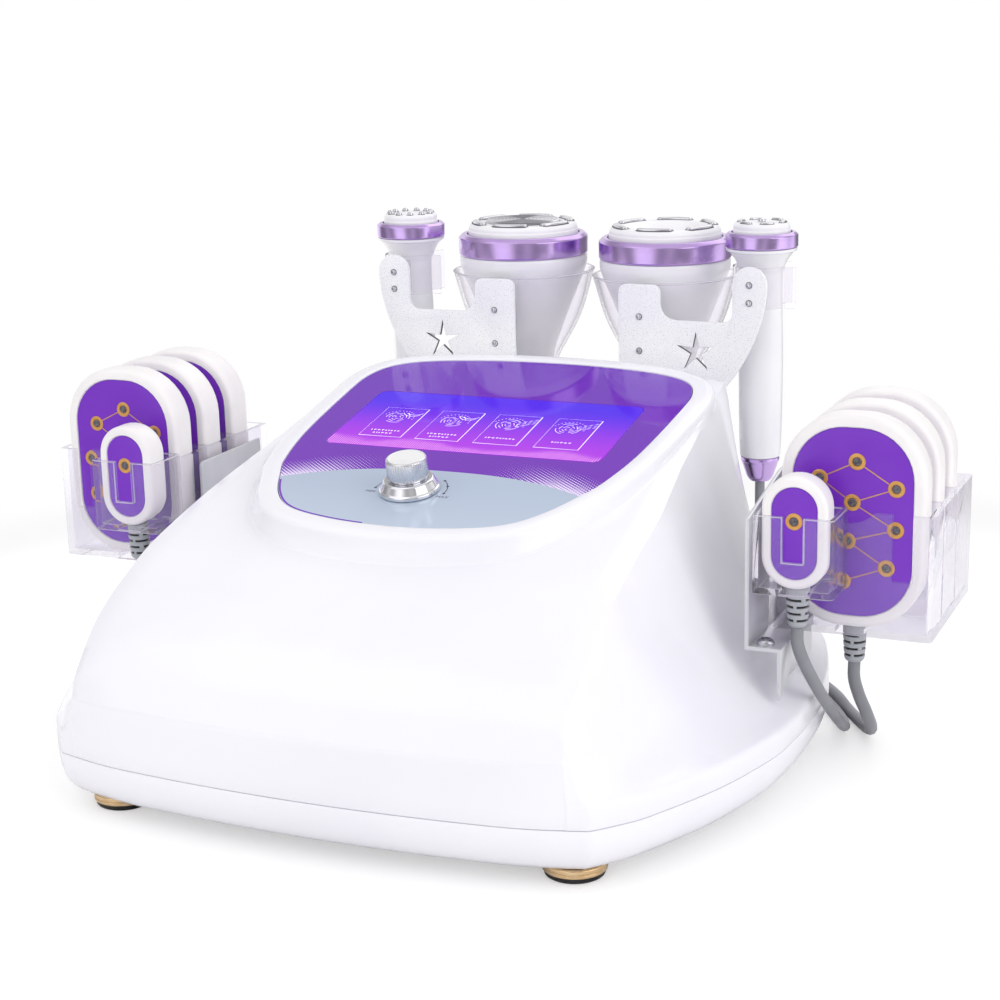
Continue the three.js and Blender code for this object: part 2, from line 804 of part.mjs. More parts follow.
for (const [name, x, y] of [
  ['foot_front_right', footX, frontFootY], ['foot_front_left', -footX, frontFootY],
  ['foot_rear_right', footX, rearFootY], ['foot_rear_left', -footX, rearFootY],
]) {
  const foot = turned([
    [0, 0], [footRadius - footPadTaper, 0], [footRadius, footPadHeight / 2], [footRadius, footPadHeight],
    [footRadius - footCupInset, footPadHeight], [footRadius - footCupInset, footHeight - seatGap],
    [0, footHeight - seatGap],
  ], footSides);
  add(machine, name, foot, brass).position.set(x, y, 0);
}

// Rear panel, inlet and rocker

const socketXs = Array.from({ length: socketCount }, (_, i) => (i - (socketCount - 1) / 2) * socketPitch);

function rearPanel() {
  const plate = standing(roundedShape(rearPanelWidth, rearPanelHeight, rearPanelCorner),
    rearFaceY - rearPanelThickness, rearFaceY).translate(0, 0, rearPanelZ);
  const collars = socketXs.map((x) => disc(socketRadius, 0, socketReach, socketSides)
    .rotateX(-Math.PI / 2).translate(x, rearFaceY - weld, socketZ));
  const bores = socketXs.map((x) => disc(
    socketBore, socketReach - socketDepth, socketReach + overrun, socketSides)
    .rotateX(-Math.PI / 2).translate(x, rearFaceY, socketZ));
  const inletHole = block(
    [inletX - inletWidth / 2 - seatGap, rearFaceY - rearPanelThickness - overrun,
      inletZ - inletHeight / 2 - seatGap],
    [inletX + inletWidth / 2 + seatGap, rearFaceY + overrun, inletZ + inletHeight / 2 + seatGap]);
  const grille = [];
  for (let i = 0; i < fanBars; i += 1) {
    const z = (i - (fanBars - 1) / 2) * 2 * fanSlot;
    const half = Math.sqrt(fanRadius ** 2 - z ** 2);
    grille.push(block(
      [fanX - half, rearFaceY - rearPanelThickness - overrun, fanZ + z - fanSlot / 2],
      [fanX + half, rearFaceY + overrun, fanZ + z + fanSlot / 2]));
  }
  return cut(join(plate, ...collars), ...bores, inletHole, ...grille);
}
add(machine, 'rear_panel', rearPanel(), blackPlastic);

const inletGroup = new THREE.Group();
inletGroup.position.set(inletX, rearFaceY, inletZ);
machine.add(inletGroup);
function inletBody() {
  const body = block(
    [-inletWidth / 2, -inletReach, -inletHeight / 2], [inletWidth / 2, seatGap, inletHeight / 2]);
  const flange = standing(
    roundedShape(inletWidth + 2 * inletFlange, inletHeight + 2 * inletFlange, inletFlange),
    seatGap, seatGap + rearPanelThickness);
  const mouth = block(
    [-inletMouthWidth / 2, -inletMouthReach, -inletMouthDrop - inletMouthHeight / 2],
    [inletMouthWidth / 2, inletFlange + overrun, -inletMouthDrop + inletMouthHeight / 2]);
  const well = block(
    [-rockerWidth / 2 - seatGap, -rockerDepth - seatGap, rockerLift - rockerHeight / 2 - seatGap],
    [rockerWidth / 2 + seatGap, inletFlange + overrun, rockerLift + rockerHeight / 2 + seatGap]);
  return cut(join(body, flange), mouth, well);
}
add(inletGroup, 'mains_inlet', inletBody(), blackPlastic);

// The rocker is a dished wedge on a pivot across the inlet.
function rockerForm() {
  const [half, foot] = [rockerHeight / 2 - rockerEase, rockerSink - rockerDepth];
  const end = rockerSwell + half * Math.sin(rockerTilt);
  const outline = polygon([
    [-half, -rockerSink], [rockerTaper - half, foot / 2], [-rockerFoot, foot], [rockerFoot, foot],
    [half - rockerTaper, foot / 2], [half, -rockerSink], [half, end], [0, rockerDish], [-half, end],
  ]);
  return extruded(outline, -rockerWidth / 2 + seatGap, rockerWidth / 2 - seatGap).rotateY(-Math.PI / 2);
}
const rocker = add(inletGroup, 'power_rocker', rockerForm(), blackPlastic);
rocker.position.set(0, 0, rockerLift);
rocker.rotation.x = rockerTilt;

// Rear rack: one sheet with a gap in the middle, a tab for each cup and an arm for each clip.

function rackOutline() {
  const shape = new THREE.Shape();
  const r = rackRound;
  const [waistInner, waistOuter] = rackWaistX;
  const corners = [
    [rackInnerX, rackGapFloor], [rackInnerX, rackTabTop - r / 2], [rackInnerX + r / 2, rackTabTop],
    [rackTabX - r / 2, rackTabTop], [rackTabX, rackTabTop - r / 2],
  ];
  shape.moveTo(0, rackGapFloor);
  for (const [x, z] of corners) shape.lineTo(x, z);
  shape.lineTo(rackTabX, rackWaistZ + r);
  shape.quadraticCurveTo(rackTabX, rackWaistZ, waistInner, rackWaistZ);
  shape.lineTo(waistOuter, rackWaistZ);
  shape.quadraticCurveTo(rackArmInnerX, rackWaistZ, rackArmInnerX, rackWaistZ + r);
  const armRadius = (rackArmOuterX - rackArmInnerX) / 2;
  shape.lineTo(rackArmInnerX, rackArmTop - armRadius);
  shape.absarc(rackArmInnerX + armRadius, rackArmTop - armRadius, armRadius, Math.PI, 0, true);
  shape.bezierCurveTo(rackArmOuterX, rackWaistZ, rackArmInnerX + r, rackLowZ + rackLowRun,
    rackLowX + rackLowRun, rackLowZ);
  shape.lineTo(rackLowX, rackFootZ);
  shape.lineTo(0, rackFootZ);
  return shape.getPoints(rackCurveSteps).map((p) => [p.x, p.y]);
}

function starShape() {
  return polygon(Array.from({ length: 2 * starPoints }, (_, i) => {
    const angle = Math.PI / 2 + (i * Math.PI) / starPoints;
    const radius = i % 2 ? starRadius * starInnerShare : starRadius;
    return [radius * Math.cos(angle), radius * Math.sin(angle)];
  }));
}

function rackForm() {
  const half = rackOutline();
  const whole = [...half, ...half.slice(1, -1).reverse().map(([x, z]) => [-x, z])];
  const sheet = standing(polygon(whole), rackFront, rackRear);
  const stars = [-1, 1].map((side) => standing(starShape(), rackFront - overrun, rackRear + overrun)
    .translate(side * starX, 0, starZ));
  return cut(sheet, ...stars);
}
add(machine, 'handle_rack', rackForm(), plateWhite);

// Cups and clips

// The cup's section at a distance inside its outer face, from the foot up.
function cupSection(inset) {
  const [neck, rim] = [cupNeckRadius - inset, cupRimRadius - inset];
  const halfway = [neck + (cupRimRadius - cupNeckRadius) * cupFlareShare, (cupNeckZ + cupRimZ) / 2];
  return [[neck, cupFootZ], [neck, cupNeckZ], halfway, [rim, cupRimZ]];
}

function cupForm() {
  const inner = cupSection(cupWall);
  const skin = turned([inner[0], ...cupSection(0), ...inner.reverse()], cupSides);
  const hollow = turned([[0, cupFootZ], ...cupSection(cupWall / 2), [0, cupRimZ]], cupSides);
  const tab = cut(block(
    [-cupTabWidth / 2, rackRear + seatGap - cupY, cupTabLow],
    [cupTabWidth / 2, -cupNeckRadius, cupTabHigh]), hollow);
  return join(skin, tab);
}

// A ring open on one side, with a flat lip standing out along each edge of the opening.
function clipForm() {
  const [outer, inner, tip] = [clipRadius, clipRadius - clipWall, clipRadius + clipLip];
  const half = clipMouth / 2;
  const at = (radius, angle) => [radius * Math.cos(angle), radius * Math.sin(angle)];
  const shape = new THREE.Shape();
  shape.moveTo(...at(tip, half));
  shape.lineTo(...at(tip, half + clipWall / tip));
  shape.lineTo(...at(outer, half + clipWall / outer));
  shape.absarc(0, 0, outer, half + clipWall / outer, 2 * Math.PI - half - clipWall / outer, false);
  shape.lineTo(...at(tip, -half - clipWall / tip));
  shape.lineTo(...at(tip, -half));
  shape.lineTo(...at(inner, -half));
  shape.absarc(0, 0, inner, 2 * Math.PI - half, half, true);
  const ring = extruded(shape, clipLow, clipHigh, clipSteps).rotateZ(clipMouthTurn);
  const tab = cut(
    block([-clipTabWidth / 2, rackRear + seatGap - clipY, clipLow + clipWall],
      [clipTabWidth / 2, -inner / 2, clipHigh - clipWall]),
    disc(inner + clipWall / 2, clipLow, clipHigh, 2 * clipSteps));
  return join(ring, tab);
}

for (const [side, word] of [[-1, 'left'], [1, 'right']]) {
  add(machine, `${word}_cup`, cupForm(), clearPlastic).position.set(side * cupX, cupY, 0);
  add(machine, `${word}_clip`, clipForm(), clearPlastic).position.set(side * clipX, clipY, 0);
}

// Small hand pieces

function smallBody() {
  const flangeLow = smallRingLow - smallFlangeHeight;
  const [tail, end, low, high] = smallBodyShares.map((share) => smallBodyRadius * share);
  const [lowRun, highRun] = smallBodyRuns;
  const plugTop = smallRingHigh - smallPlugDrop;
  return turned([
    [0, smallTailEnd], [smallTailRadius, smallTailEnd], [tail, smallTailEnd + smallTailRun],
    [end, smallBodyEnd], [low, smallBodyEnd + lowRun], [high, smallBodyEnd + highRun],
    [smallNeckRadius - clipWall / 2, clipLow], [smallNeckRadius - clipWall / 2, clipHigh - smallConeRun],
    [clipRadius - clipWall - 2 * seatGap, clipHigh], [smallRingRadius * smallFlangeShares[0], flangeLow],
    [smallRingRadius * smallFlangeShares[1], smallRingLow - seatGap],
    [smallPlugRadius, smallRingLow - seatGap], [smallPlugRadius, plugTop], [0, plugTop],
  ], smallBodySides);
}

// A ring round a hand piece's plug, with a step inside its top that seats the head.
function ringForm(radius, low, high, edge, plugRadius, headRadius, seatDrop, sides) {
  const [bore, lip] = [plugRadius + seatGap, headRadius + ringLip];
  return turned([
    [bore, low], [radius - edge, low], [radius, low + edge], [radius, high - edge], [radius - edge, high],
    [lip, high], [lip, high - seatDrop], [bore, high - seatDrop], [bore, low],
  ], sides);
}

function headDisc(radius, low, top, edge, sides) {
  return turned([
    [0, low], [radius, low], [radius, top - edge], [radius - edge, top], [0, top],
  ], sides);
}

function stud() {
  return turned([
    [0, -overrun], [studRadius, -overrun], [studRadius, studHeight / 2], [studRadius / 2, studHeight],
    [0, studHeight],
  ], studSides).translate(studRing, 0, 0);
}

function smallHead(kind) {
  const head = headDisc(smallHeadRadius, smallRingHigh - smallSeatDrop + seatGap, smallHeadTop,
    smallHeadRound, smallRingSides);
  const count = kind === 'studs' ? studCount : barCount;
  const contacts = Array.from({ length: count }, (_, i) => {
    const piece = kind === 'studs' ? stud() : arcBar(studRing, barWidth, barRise, barArc, barSteps);
    return piece.rotateZ((i / count) * 2 * Math.PI).translate(0, 0, smallHeadTop);
  });
  return join(head, ...contacts);
}

// A low bar bent along a circle, sunk a little into the face that carries it.
function arcBar(ring, width, rise, angle, steps) {
  const shape = new THREE.Shape();
  const [outer, inner] = [ring + width / 2, ring - width / 2];
  shape.absarc(0, 0, outer, -angle / 2, angle / 2, false);
  shape.absarc(0, 0, inner, angle / 2, -angle / 2, true);
  shape.closePath();
  return extruded(shape, -overrun, rise, steps);
}

for (const [side, word, kind] of [[-1, 'left', 'studs'], [1, 'right', 'bars']]) {
  const piece = new THREE.Group();
  piece.position.set(side * clipX, clipY, 0);
  machine.add(piece);
  add(piece, `small_${word}_body`, smallBody(), glossWhite);
  add(piece, `small_${word}_ring`, ringForm(smallRingRadius, smallRingLow, smallRingHigh, smallRingEdge,
    smallPlugRadius, smallHeadRadius, smallSeatDrop, smallRingSides), anodisedPurple);
  add(piece, `small_${word}_head`, smallHead(kind), glossWhite);
}

// Large hand pieces

function bigBody() {
  const [low, high] = bigBodyShares.map((share) => bigBodyTop * share);
  const [lowRise, highRise] = bigBodyRises;
  const plugTop = bigRingHigh - bigPlugDrop;
  return turned([
    [0, bigBodyEnd], [bigEndRadius, bigBodyEnd], [bigEndRadius * bigEndShare, bigBodyEnd + bigEndRun],
    [bigGripRadius, bigGripZ], [bigGripRadius * bigGripShare, cupNeckZ + bigEndRun],
    [low, cupNeckZ + lowRise], [high, cupNeckZ + highRise], [bigBodyTop, bigRingLow - bigPlugDrop],
    [bigBodyTop, bigRingLow - seatGap], [bigPlugRadius, bigRingLow - seatGap],
    [bigPlugRadius, plugTop], [0, plugTop],
  ], bigBodySides);
}

function bigHead(kind) {
  const seat = bigHeadTop - 2 * transducerRise;
  const [floorRadius, wallRadius] = vacuumShares.map((share) => vacuumRadius * share);
  const opening = kind === 'transducer'
    ? disc(transducerRadius + seatGap, seat, bigHeadTop + overrun, transducerSides)
    : turned([
      [0, bigHeadTop - vacuumDepth], [floorRadius, bigHeadTop - vacuumDepth],
      [wallRadius, bigHeadTop - vacuumDepth / 3], [vacuumRadius, bigHeadTop - vacuumLip],
      [vacuumRadius + vacuumLip, bigHeadTop + overrun], [0, bigHeadTop + overrun],
    ], vacuumSides);
  const bars = Array.from({ length: bigElectrodes }, (_, i) => arcBar(
    electrodeRing, electrodeWidth, electrodeRise, electrodeArc, barSteps)
    .rotateZ(electrodeTurn + (i / bigElectrodes) * 2 * Math.PI).translate(0, 0, bigHeadTop));
  const head = headDisc(bigHeadRadius, bigRingHigh - bigSeatDrop + seatGap, bigHeadTop,
    bigHeadRound, bigRingSides);
  return cut(join(head, ...bars), opening);
}

function transducer() {
  const low = bigHeadTop - 2 * transducerRise + seatGap;
  const top = bigHeadTop + transducerRise;
  const step = transducerRadius / transducerRings;
  const profile = [[0, low], [transducerRadius, low]];
  for (let i = transducerRings; i > 0; i -= 1) {
    profile.push([i * step, top - transducerGroove], [(i - 0.5) * step, top]);
  }
  profile.push([0, top - transducerGroove]);
  return turned(profile, transducerSides);
}

for (const [side, word, kind] of [[-1, 'left', 'transducer'], [1, 'right', 'vacuum']]) {
  const piece = new THREE.Group();
  piece.position.set(side * cupX, cupY, 0);
  machine.add(piece);
  add(piece, `big_${word}_body`, bigBody(), glossWhite);
  add(piece, `big_${word}_ring`, ringForm(bigRingRadius, bigRingLow, bigRingHigh, bigRingEdge,
    bigPlugRadius, bigHeadRadius, bigSeatDrop, bigRingSides), anodisedPurple);
  add(piece, `big_${word}_head`, bigHead(kind), glossWhite);
  if (kind === 'transducer') add(piece, 'transducer_disc', transducer(), chrome);
}

// Side holders with their pads

const slotPitch = bigPadThickness + slotFree + boxWall;
const bigBoxDepth = slotCount * slotPitch + boxWall;
const bigBoxInner = bigBoxCentreX - bigBoxWidth / 2;
const smallBoxDepth = smallBoxWall + smallPadThickness + smallSlotFree;
const smallBoxFrontY = bigBoxFrontY - seatGap - smallBoxDepth - smallBoxWall;
const smallBoxCentreX = bigBoxInner + smallBoxWidth / 2;

function openBox(width, depth, height, wall, floor) {
  const outer = extruded(roundedShape(width, depth, boxCorner, boxCornerSteps), 0, height);
  const inner = extruded(roundedShape(width - 2 * wall, depth - 2 * wall, boxCorner / 2, boxCornerSteps),
    floor, height + overrun);
  return cut(outer, inner);
}

function bigBox() {
  let box = openBox(bigBoxWidth, bigBoxDepth, bigBoxHeight, boxWall, boxFloor);
  const dividers = [];
  for (let i = 1; i < slotCount; i += 1) {
    const y = i * slotPitch - bigBoxDepth / 2;
    dividers.push(block([-bigBoxWidth / 2 + overrun, y, boxFloor / 2],
      [bigBoxWidth / 2 - overrun, y + boxWall, bigBoxHeight]));
  }
  const front = -bigBoxDepth / 2;
  const dip = new THREE.Shape();
  dip.moveTo(-frontDipWidth / 2, bigBoxHeight + overrun);
  dip.quadraticCurveTo(0, bigBoxHeight - 2 * frontDipDepth - overrun,
    frontDipWidth / 2, bigBoxHeight + overrun);
  dip.closePath();
  box = join(box, ...dividers);
  return cut(box,
    standing(dip, front - overrun, front + boxWall + overrun),
    block([cableSlotShift - cableSlotWidth / 2, front - overrun, bigBoxHeight - cableSlotDepth],
      [cableSlotShift + cableSlotWidth / 2, front + boxWall + overrun, bigBoxHeight + overrun]),
    block([-floorSlotWidth / 2, front + boxWall, -overrun],
      [floorSlotWidth / 2, -front - boxWall, boxFloor + overrun]));
}

function smallBox() {
  const depth = smallBoxDepth + smallBoxWall;
  const front = -depth / 2;
  return cut(openBox(smallBoxWidth, depth, smallBoxHeight, smallBoxWall, smallBoxWall),
    block([-cableSlotWidth / 2, front - overrun, smallBoxHeight - smallCableSlotDepth],
      [cableSlotWidth / 2, front + smallBoxWall + overrun, smallBoxHeight + overrun]),
    block([-floorSlotWidth / 2, front + smallBoxWall, -overrun],
      [floorSlotWidth / 2, -front - smallBoxWall, smallBoxWall + overrun]));
}

// One bent sheet: an upright beside the boxes, a shelf under them and a flange down to the housing.
// The left one's upright is lower and steps down at its front.
function bracketForm(side) {
  const t = bracketThickness;
  const shelfZ = bigBoxBottom - seatGap;
  const upper = side > 0
    ? [[bracketRearY, bracketTop], [bracketSlopeEnd, bracketTop], [bracketFrontY, bracketFrontTop]]
    : [[bracketRearY, leftBracketTop], [leftBracketStepY + t, leftBracketTop],
      [leftBracketStepY, leftBracketTop - t], [leftBracketStepY, leftBracketStepZ],
      [bracketFrontY, leftBracketStepZ]];
  const upright = extruded(polygon([
    [bracketFrontY, shelfZ - t], [bracketRearY, shelfZ - t], ...upper,
  ]), bracketX, bracketX + t).rotateX(Math.PI / 2).rotateZ(Math.PI / 2);
  const shelf = block([bracketX + t / 2, bracketFrontY, shelfZ - t],
    [bracketFlangeX + t, bracketRearY, shelfZ]);
  const flange = extruded(polygon([
    [bracketFrontY, shelfZ - t / 2], [bracketFrontY, bracketFlangeLow],
    [bracketFrontY + flangeTipRun, bracketFlangeLow + flangeTipRun / 2],
    [bracketFlangeRear, bracketFlangeLow + flangeTipRun / 2], [bracketFlangeRear, shelfZ - t / 2],
  ]), bracketFlangeX, bracketFlangeX + t).rotateX(Math.PI / 2).rotateZ(Math.PI / 2);
  return join(upright, shelf, flange);
}

function padShell(width, height, thickness, corner, edge, margin, segments) {
  const shell = pillow(width, height, thickness, corner, edge, segments, padEdgeSteps);
  const pocket = extruded(roundedShape(width - 2 * margin, height - 2 * margin, corner - margin, segments),
    thickness - faceSink - faceThickness, thickness + overrun);
  return cut(shell, pocket);
}

function padFace(width, height, thickness, corner, margin, segments) {
  const [w, h] = [width - 2 * margin - 2 * seatGap, height - 2 * margin - 2 * seatGap];
  return extruded(roundedShape(w, h, corner - margin - seatGap, segments),
    thickness - faceSink - faceThickness + seatGap, thickness - faceSink + seatGap);
}

const padDepths = [];
for (let i = 0; i < slotCount; i += 1) padDepths.push(bigBoxFrontY + boxWall + seatGap + i * slotPitch);
const bigPadZ = bigBoxBottom + boxFloor + seatGap + bigPadHeight / 2;
const smallPadZ = smallBoxBottom + smallBoxWall + seatGap + smallPadHeight / 2;
const smallPadY = smallBoxFrontY + smallBoxWall + seatGap;

// A pad stands with its face to the front: its thickness runs back from frontY.
function placePad(group, x, frontY, thickness, z) {
  group.position.set(x, frontY + thickness, z);
  group.rotation.x = Math.PI / 2;
  machine.add(group);
  return group;
}

function relief() {
  const profile = [[0, -reliefLength], [reliefEndRadius, -reliefLength]];
  const step = reliefLength / (reliefGrooves + 1);
  for (let i = reliefGrooves; i > 0; i -= 1) {
    const z = -i * step;
    const radius = THREE.MathUtils.lerp(reliefRadius, reliefEndRadius, i / (reliefGrooves + 1));
    profile.push([radius, z - reliefGrooveWidth / 2], [radius - reliefGrooveDepth, z - reliefGrooveWidth / 2],
      [radius - reliefGrooveDepth, z + reliefGrooveWidth / 2], [radius, z + reliefGrooveWidth / 2]);
  }
  profile.push([reliefRadius, 0], [0, 0]);
  return turned(profile, reliefSides);
}

for (const [side, word] of [[-1, 'left'], [1, 'right']]) {
  add(machine, `${word}_bracket`, mirrored(bracketForm(side), side), sheetSteel);
  const box = add(machine, `${word}_pad_box`, mirrored(bigBox(), side), clearPlastic);
  box.position.set(side * bigBoxCentreX, bigBoxFrontY + bigBoxDepth / 2, bigBoxBottom);
  const cup = add(machine, `${word}_small_pad_box`, mirrored(smallBox(), side), clearPlastic);
  cup.position.set(
    side * smallBoxCentreX, smallBoxFrontY + (smallBoxDepth + smallBoxWall) / 2, smallBoxBottom);
  for (let i = 0; i < slotCount; i += 1) {
    const pad = placePad(new THREE.Group(), side * bigBoxCentreX, padDepths[i], bigPadThickness, bigPadZ);
    const shell = i > 0
      ? pillow(bigPadWidth, bigPadHeight, bigPadThickness, bigPadCorner, bigPadRound, hiddenPadCornerSteps, 1)
      : padShell(bigPadWidth, bigPadHeight, bigPadThickness, bigPadCorner, bigPadRound, bigFaceMargin,
        padCornerSteps);
    add(pad, `${word}_pad_${i + 1}`, shell, padWhite);
    if (i === 0) {
      add(pad, `${word}_pad_1_face`,
        padFace(bigPadWidth, bigPadHeight, bigPadThickness, bigPadCorner, bigFaceMargin, padCornerSteps),
        padPurple);
    }
  }
  const small = placePad(new THREE.Group(), side * smallBoxCentreX, smallPadY, smallPadThickness, smallPadZ);
  add(small, `${word}_small_pad`, padShell(smallPadWidth, smallPadHeight, smallPadThickness, smallPadCorner,
    smallPadRound, smallFaceMargin, smallPadCornerSteps), padWhite);
  add(small, `${word}_small_pad_face`, padFace(smallPadWidth, smallPadHeight, smallPadThickness,
    smallPadCorner, smallFaceMargin, smallPadCornerSteps), padPurple);
  add(machine, `${word}_small_pad_relief`, relief(), greyRubber).position.set(side * smallBoxCentreX,
    smallPadY + smallPadThickness / 2, smallPadZ - smallPadHeight / 2 - seatGap);
}
add(machine, 'right_pad_1_relief', relief(), greyRubber).position.set(
  bigBoxCentreX, padDepths[0] + bigPadThickness / 2, bigPadZ - bigPadHeight / 2 - seatGap);

// Leads: chosen points from each strain relief or tail down to the table and round to the coil.
// Those beside the console are measured from its widest place.

const besideConsole = (points) => points.map(([x, y, z]) => [halfWidth + x, y, z]);

const smallLeadPoints = [
  ...besideConsole([
    [-4.4, -46.7, 83.1], [-4.4, -46.7, 75], [-1.5, -45, 65], [3.7, -37, 49], [5.7, -22, 35],
    [5.5, -2, 21.5], [3.5, 17, 11.5], [-0.7, 33, 6], [-5.7, 48, 3.4], [-13, 61, 3.2], [-22.5, 74, 3.2],
    [-35, 88, 3.2], [-49.5, 102, 3.2], [-67.5, 115, 3.2],
  ]),
  [101, 123.6, 3.2], [78, 127.2, 3.2], [40, 127.2, 3.2], [0, 127.2, 3.2], [-36, 127.4, 3.2],
  [-60, 130.5, 3.2], [-75, 140, 3.2], [-81.5, 154, 3.2], [-82.3, 167, 3.2], [-82.3, 175.4, 3.2],
];
const bigLeadPoints = [
  ...besideConsole([
    [15.9, -15.7, 58.2], [15.9, -15.7, 50], [17.1, -10, 39], [18.1, 2, 26], [17.3, 18, 12],
    [11.5, 35, 4.6], [2.5, 50, 3.2], [-6.5, 64, 3.2], [-15, 79, 3.2], [-26.5, 94.5, 3.2],
    [-41, 108.5, 3.2], [-58, 120, 3.2],
  ]),
  [109.5, 129.2, 3.2], [84, 134.6, 3.2], [60, 135, 3.2], [38, 137.5, 3.2], [21, 145.5, 3.2],
  [13, 157, 3.2], [11.7, 168, 3.2], [11.7, 175.4, 3.2],
];
const handleLeadPoints = [
  [108.2, 148.3, 103.2], [108.2, 148.3, 96], [108.1, 148.4, 70], [107.4, 148.8, 40], [106.4, 151.5, 18],
  [105.5, 159, 6], [105.2, 168, 3], [105.2, 175.8, 2.9],
];

// A swept body of the cord's section, flat and square at both ends.
function cordAlong(points, diameter, sides, steps) {
  const path = new THREE.CatmullRomCurve3(points.map((p) => new THREE.Vector3(...p)), false, 'centripetal');
  path.arcLengthDivisions = 40 * points.length;
  const ring = Array.from({ length: sides }, (_, i) => {
    const angle = ((i + 0.5) / sides) * 2 * Math.PI;
    return [(diameter / 2) * Math.cos(angle), (diameter / 2) * Math.sin(angle)];
  });
  return new THREE.ExtrudeGeometry(polygon(ring), { steps, bevelEnabled: false, extrudePath: path });
}

// A coil in two layers: it spirals in, climbs where the spiral turns back, and spirals out again.
// Its last end swings out beside the coil and comes down to the height of the connector.
function coilPoints(x, diameter, turns) {
  const pitch = diameter + coilClearance;
  const outer = coilMiddleShare * diameter + (turns / 4) * pitch;
  const low = diameter / 2 + tableGap;
  const steps = Math.round(turns * coilSteps);
  const points = Array.from({ length: steps + 1 }, (_, i) => {
    const turn = (i / steps) * turns;
    const climb = THREE.MathUtils.smoothstep(turn, turns / 2 - coilClimbShare, turns / 2 + coilClimbShare);
    const swing = THREE.MathUtils.smoothstep(turn, turns - coilSwingShare, turns);
    const drop = THREE.MathUtils.smoothstep(turn, turns - coilDropShare, turns)
      * (low + pitch - connectorRadius - tableGap);
    const radius = outer - (turns / 2 - Math.abs(turn - turns / 2)) * pitch + swing * coilTailSpread;
    const angle = turn * 2 * Math.PI;
    return [x + radius * Math.cos(angle), coilY + radius * Math.sin(angle), low + climb * pitch - drop];
  });
  const [first, last, before] = [points[0], points.at(-1), points.at(-2)];
  const start = [first[0], first[1] - diameter, first[2]];
  const run = new THREE.Vector3(last[0] - before[0], last[1] - before[1], 0).setLength(diameter);
  return [start, ...points, [last[0] + run.x, last[1] + run.y, last[2]]];
}

// The least clear space between two turns of one coil.
function leastGap(points, diameter) {
  const places = points.map((p) => new THREE.Vector3(...p));
  let least = Infinity;
  for (let i = 0; i < places.length; i += 1) {
    for (let j = i + Math.floor(coilSteps / 2); j < places.length; j += 1) {
      const along = new THREE.Line3(places[j - 1], places[j]);
      const nearest = along.closestPointToPoint(places[i], true, new THREE.Vector3());
      least = Math.min(least, nearest.distanceTo(places[i]));
    }
  }
  return least - diameter;
}

function connectorForm() {
  const pinEnd = connectorLength + connectorPinLength;
  return turned([
    [0, 0], ...connectorShares.map(([along, out]) => [connectorRadius * out, connectorLength * along]),
    [connectorPinRadius, connectorLength], [connectorPinRadius, pinEnd], [0, pinEnd],
  ], connectorSides);
}

for (const [name, lead, leadSteps, x, diameter, turns] of [
  ['small_pad', smallLeadPoints, smallLeadSteps, smallCoilX, cordDiameter, padCoilTurns],
  ['big_pad', bigLeadPoints, bigLeadSteps, bigCoilX, cordDiameter, padCoilTurns],
  ['handle', handleLeadPoints, handleLeadSteps, handleCoilX, handleCordDiameter, handleCoilTurns],
]) {
  const coil = coilPoints(x, diameter, turns);
  console.log(`${name} coil: least gap to itself ${leastGap(coil, diameter).toFixed(2)} mm`);
  add(machine, `${name}_lead`, cordAlong(lead, diameter, leadSides, leadSteps), darkRubber);
  const steps = Math.round(turns * coilSteps) + 2;
  add(machine, `${name}_coil`, cordAlong(coil, diameter, coilSides, steps), darkRubber);
  const [end, before] = [coil.at(-1), coil.at(-2)];
  const heading = Math.atan2(end[1] - before[1], end[0] - before[0]);
  const connector = add(machine, `${name}_connector`, connectorForm().rotateY(Math.PI / 2), greyRubber);
  connector.position.set(
    end[0] + seatGap * Math.cos(heading), end[1] + seatGap * Math.sin(heading), end[2]);
  connector.rotation.z = heading;
}

export default machine;
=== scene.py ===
import math
import bmesh
import bpy
from mathutils import Matrix, Vector
from mathutils.bvhtree import BVHTree


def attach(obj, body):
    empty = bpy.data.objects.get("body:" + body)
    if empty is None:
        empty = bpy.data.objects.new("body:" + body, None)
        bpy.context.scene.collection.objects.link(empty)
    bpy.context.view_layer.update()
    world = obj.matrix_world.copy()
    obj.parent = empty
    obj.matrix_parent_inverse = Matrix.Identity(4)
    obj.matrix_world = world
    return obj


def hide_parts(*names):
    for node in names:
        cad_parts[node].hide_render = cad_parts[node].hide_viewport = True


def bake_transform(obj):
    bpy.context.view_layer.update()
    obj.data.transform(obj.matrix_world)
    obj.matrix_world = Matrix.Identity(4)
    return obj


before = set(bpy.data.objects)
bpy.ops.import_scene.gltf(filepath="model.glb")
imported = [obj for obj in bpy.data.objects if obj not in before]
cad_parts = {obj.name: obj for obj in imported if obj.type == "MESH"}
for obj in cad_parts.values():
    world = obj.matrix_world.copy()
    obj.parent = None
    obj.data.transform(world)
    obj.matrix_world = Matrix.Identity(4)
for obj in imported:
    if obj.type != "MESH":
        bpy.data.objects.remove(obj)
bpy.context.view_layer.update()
scene = bpy.context.scene
scene.view_settings.view_transform = "Standard"
metre = 0.001  # lengths below are in millimetres, and a mesh is scaled by this when it is finished
weld = 0.003  # points nearer than this become one
level = 1e-4  # heights nearer than this are the same
white = (1, 1, 1, 1)
sides = ((-1, "left"), (1, "right"))


def addObject(name, data):
    made = bpy.data.objects.new(name, data)
    scene.collection.objects.link(made)
    return made


def rotated(axis, degrees):
    return Matrix.Rotation(math.radians(degrees), 4, axis)


def polar(radius, angle):
    return radius * math.cos(angle), radius * math.sin(angle)


# Camera: the photograph's viewing angle
cameraFacts = {"lens": 73.62, "sensor": 36, "far": 30, "azimuth": 23.7, "elevation": 14.4, "roll": -1.4,
               "target": (19.99, -21.6, 126.06), "distance": 1049.34}


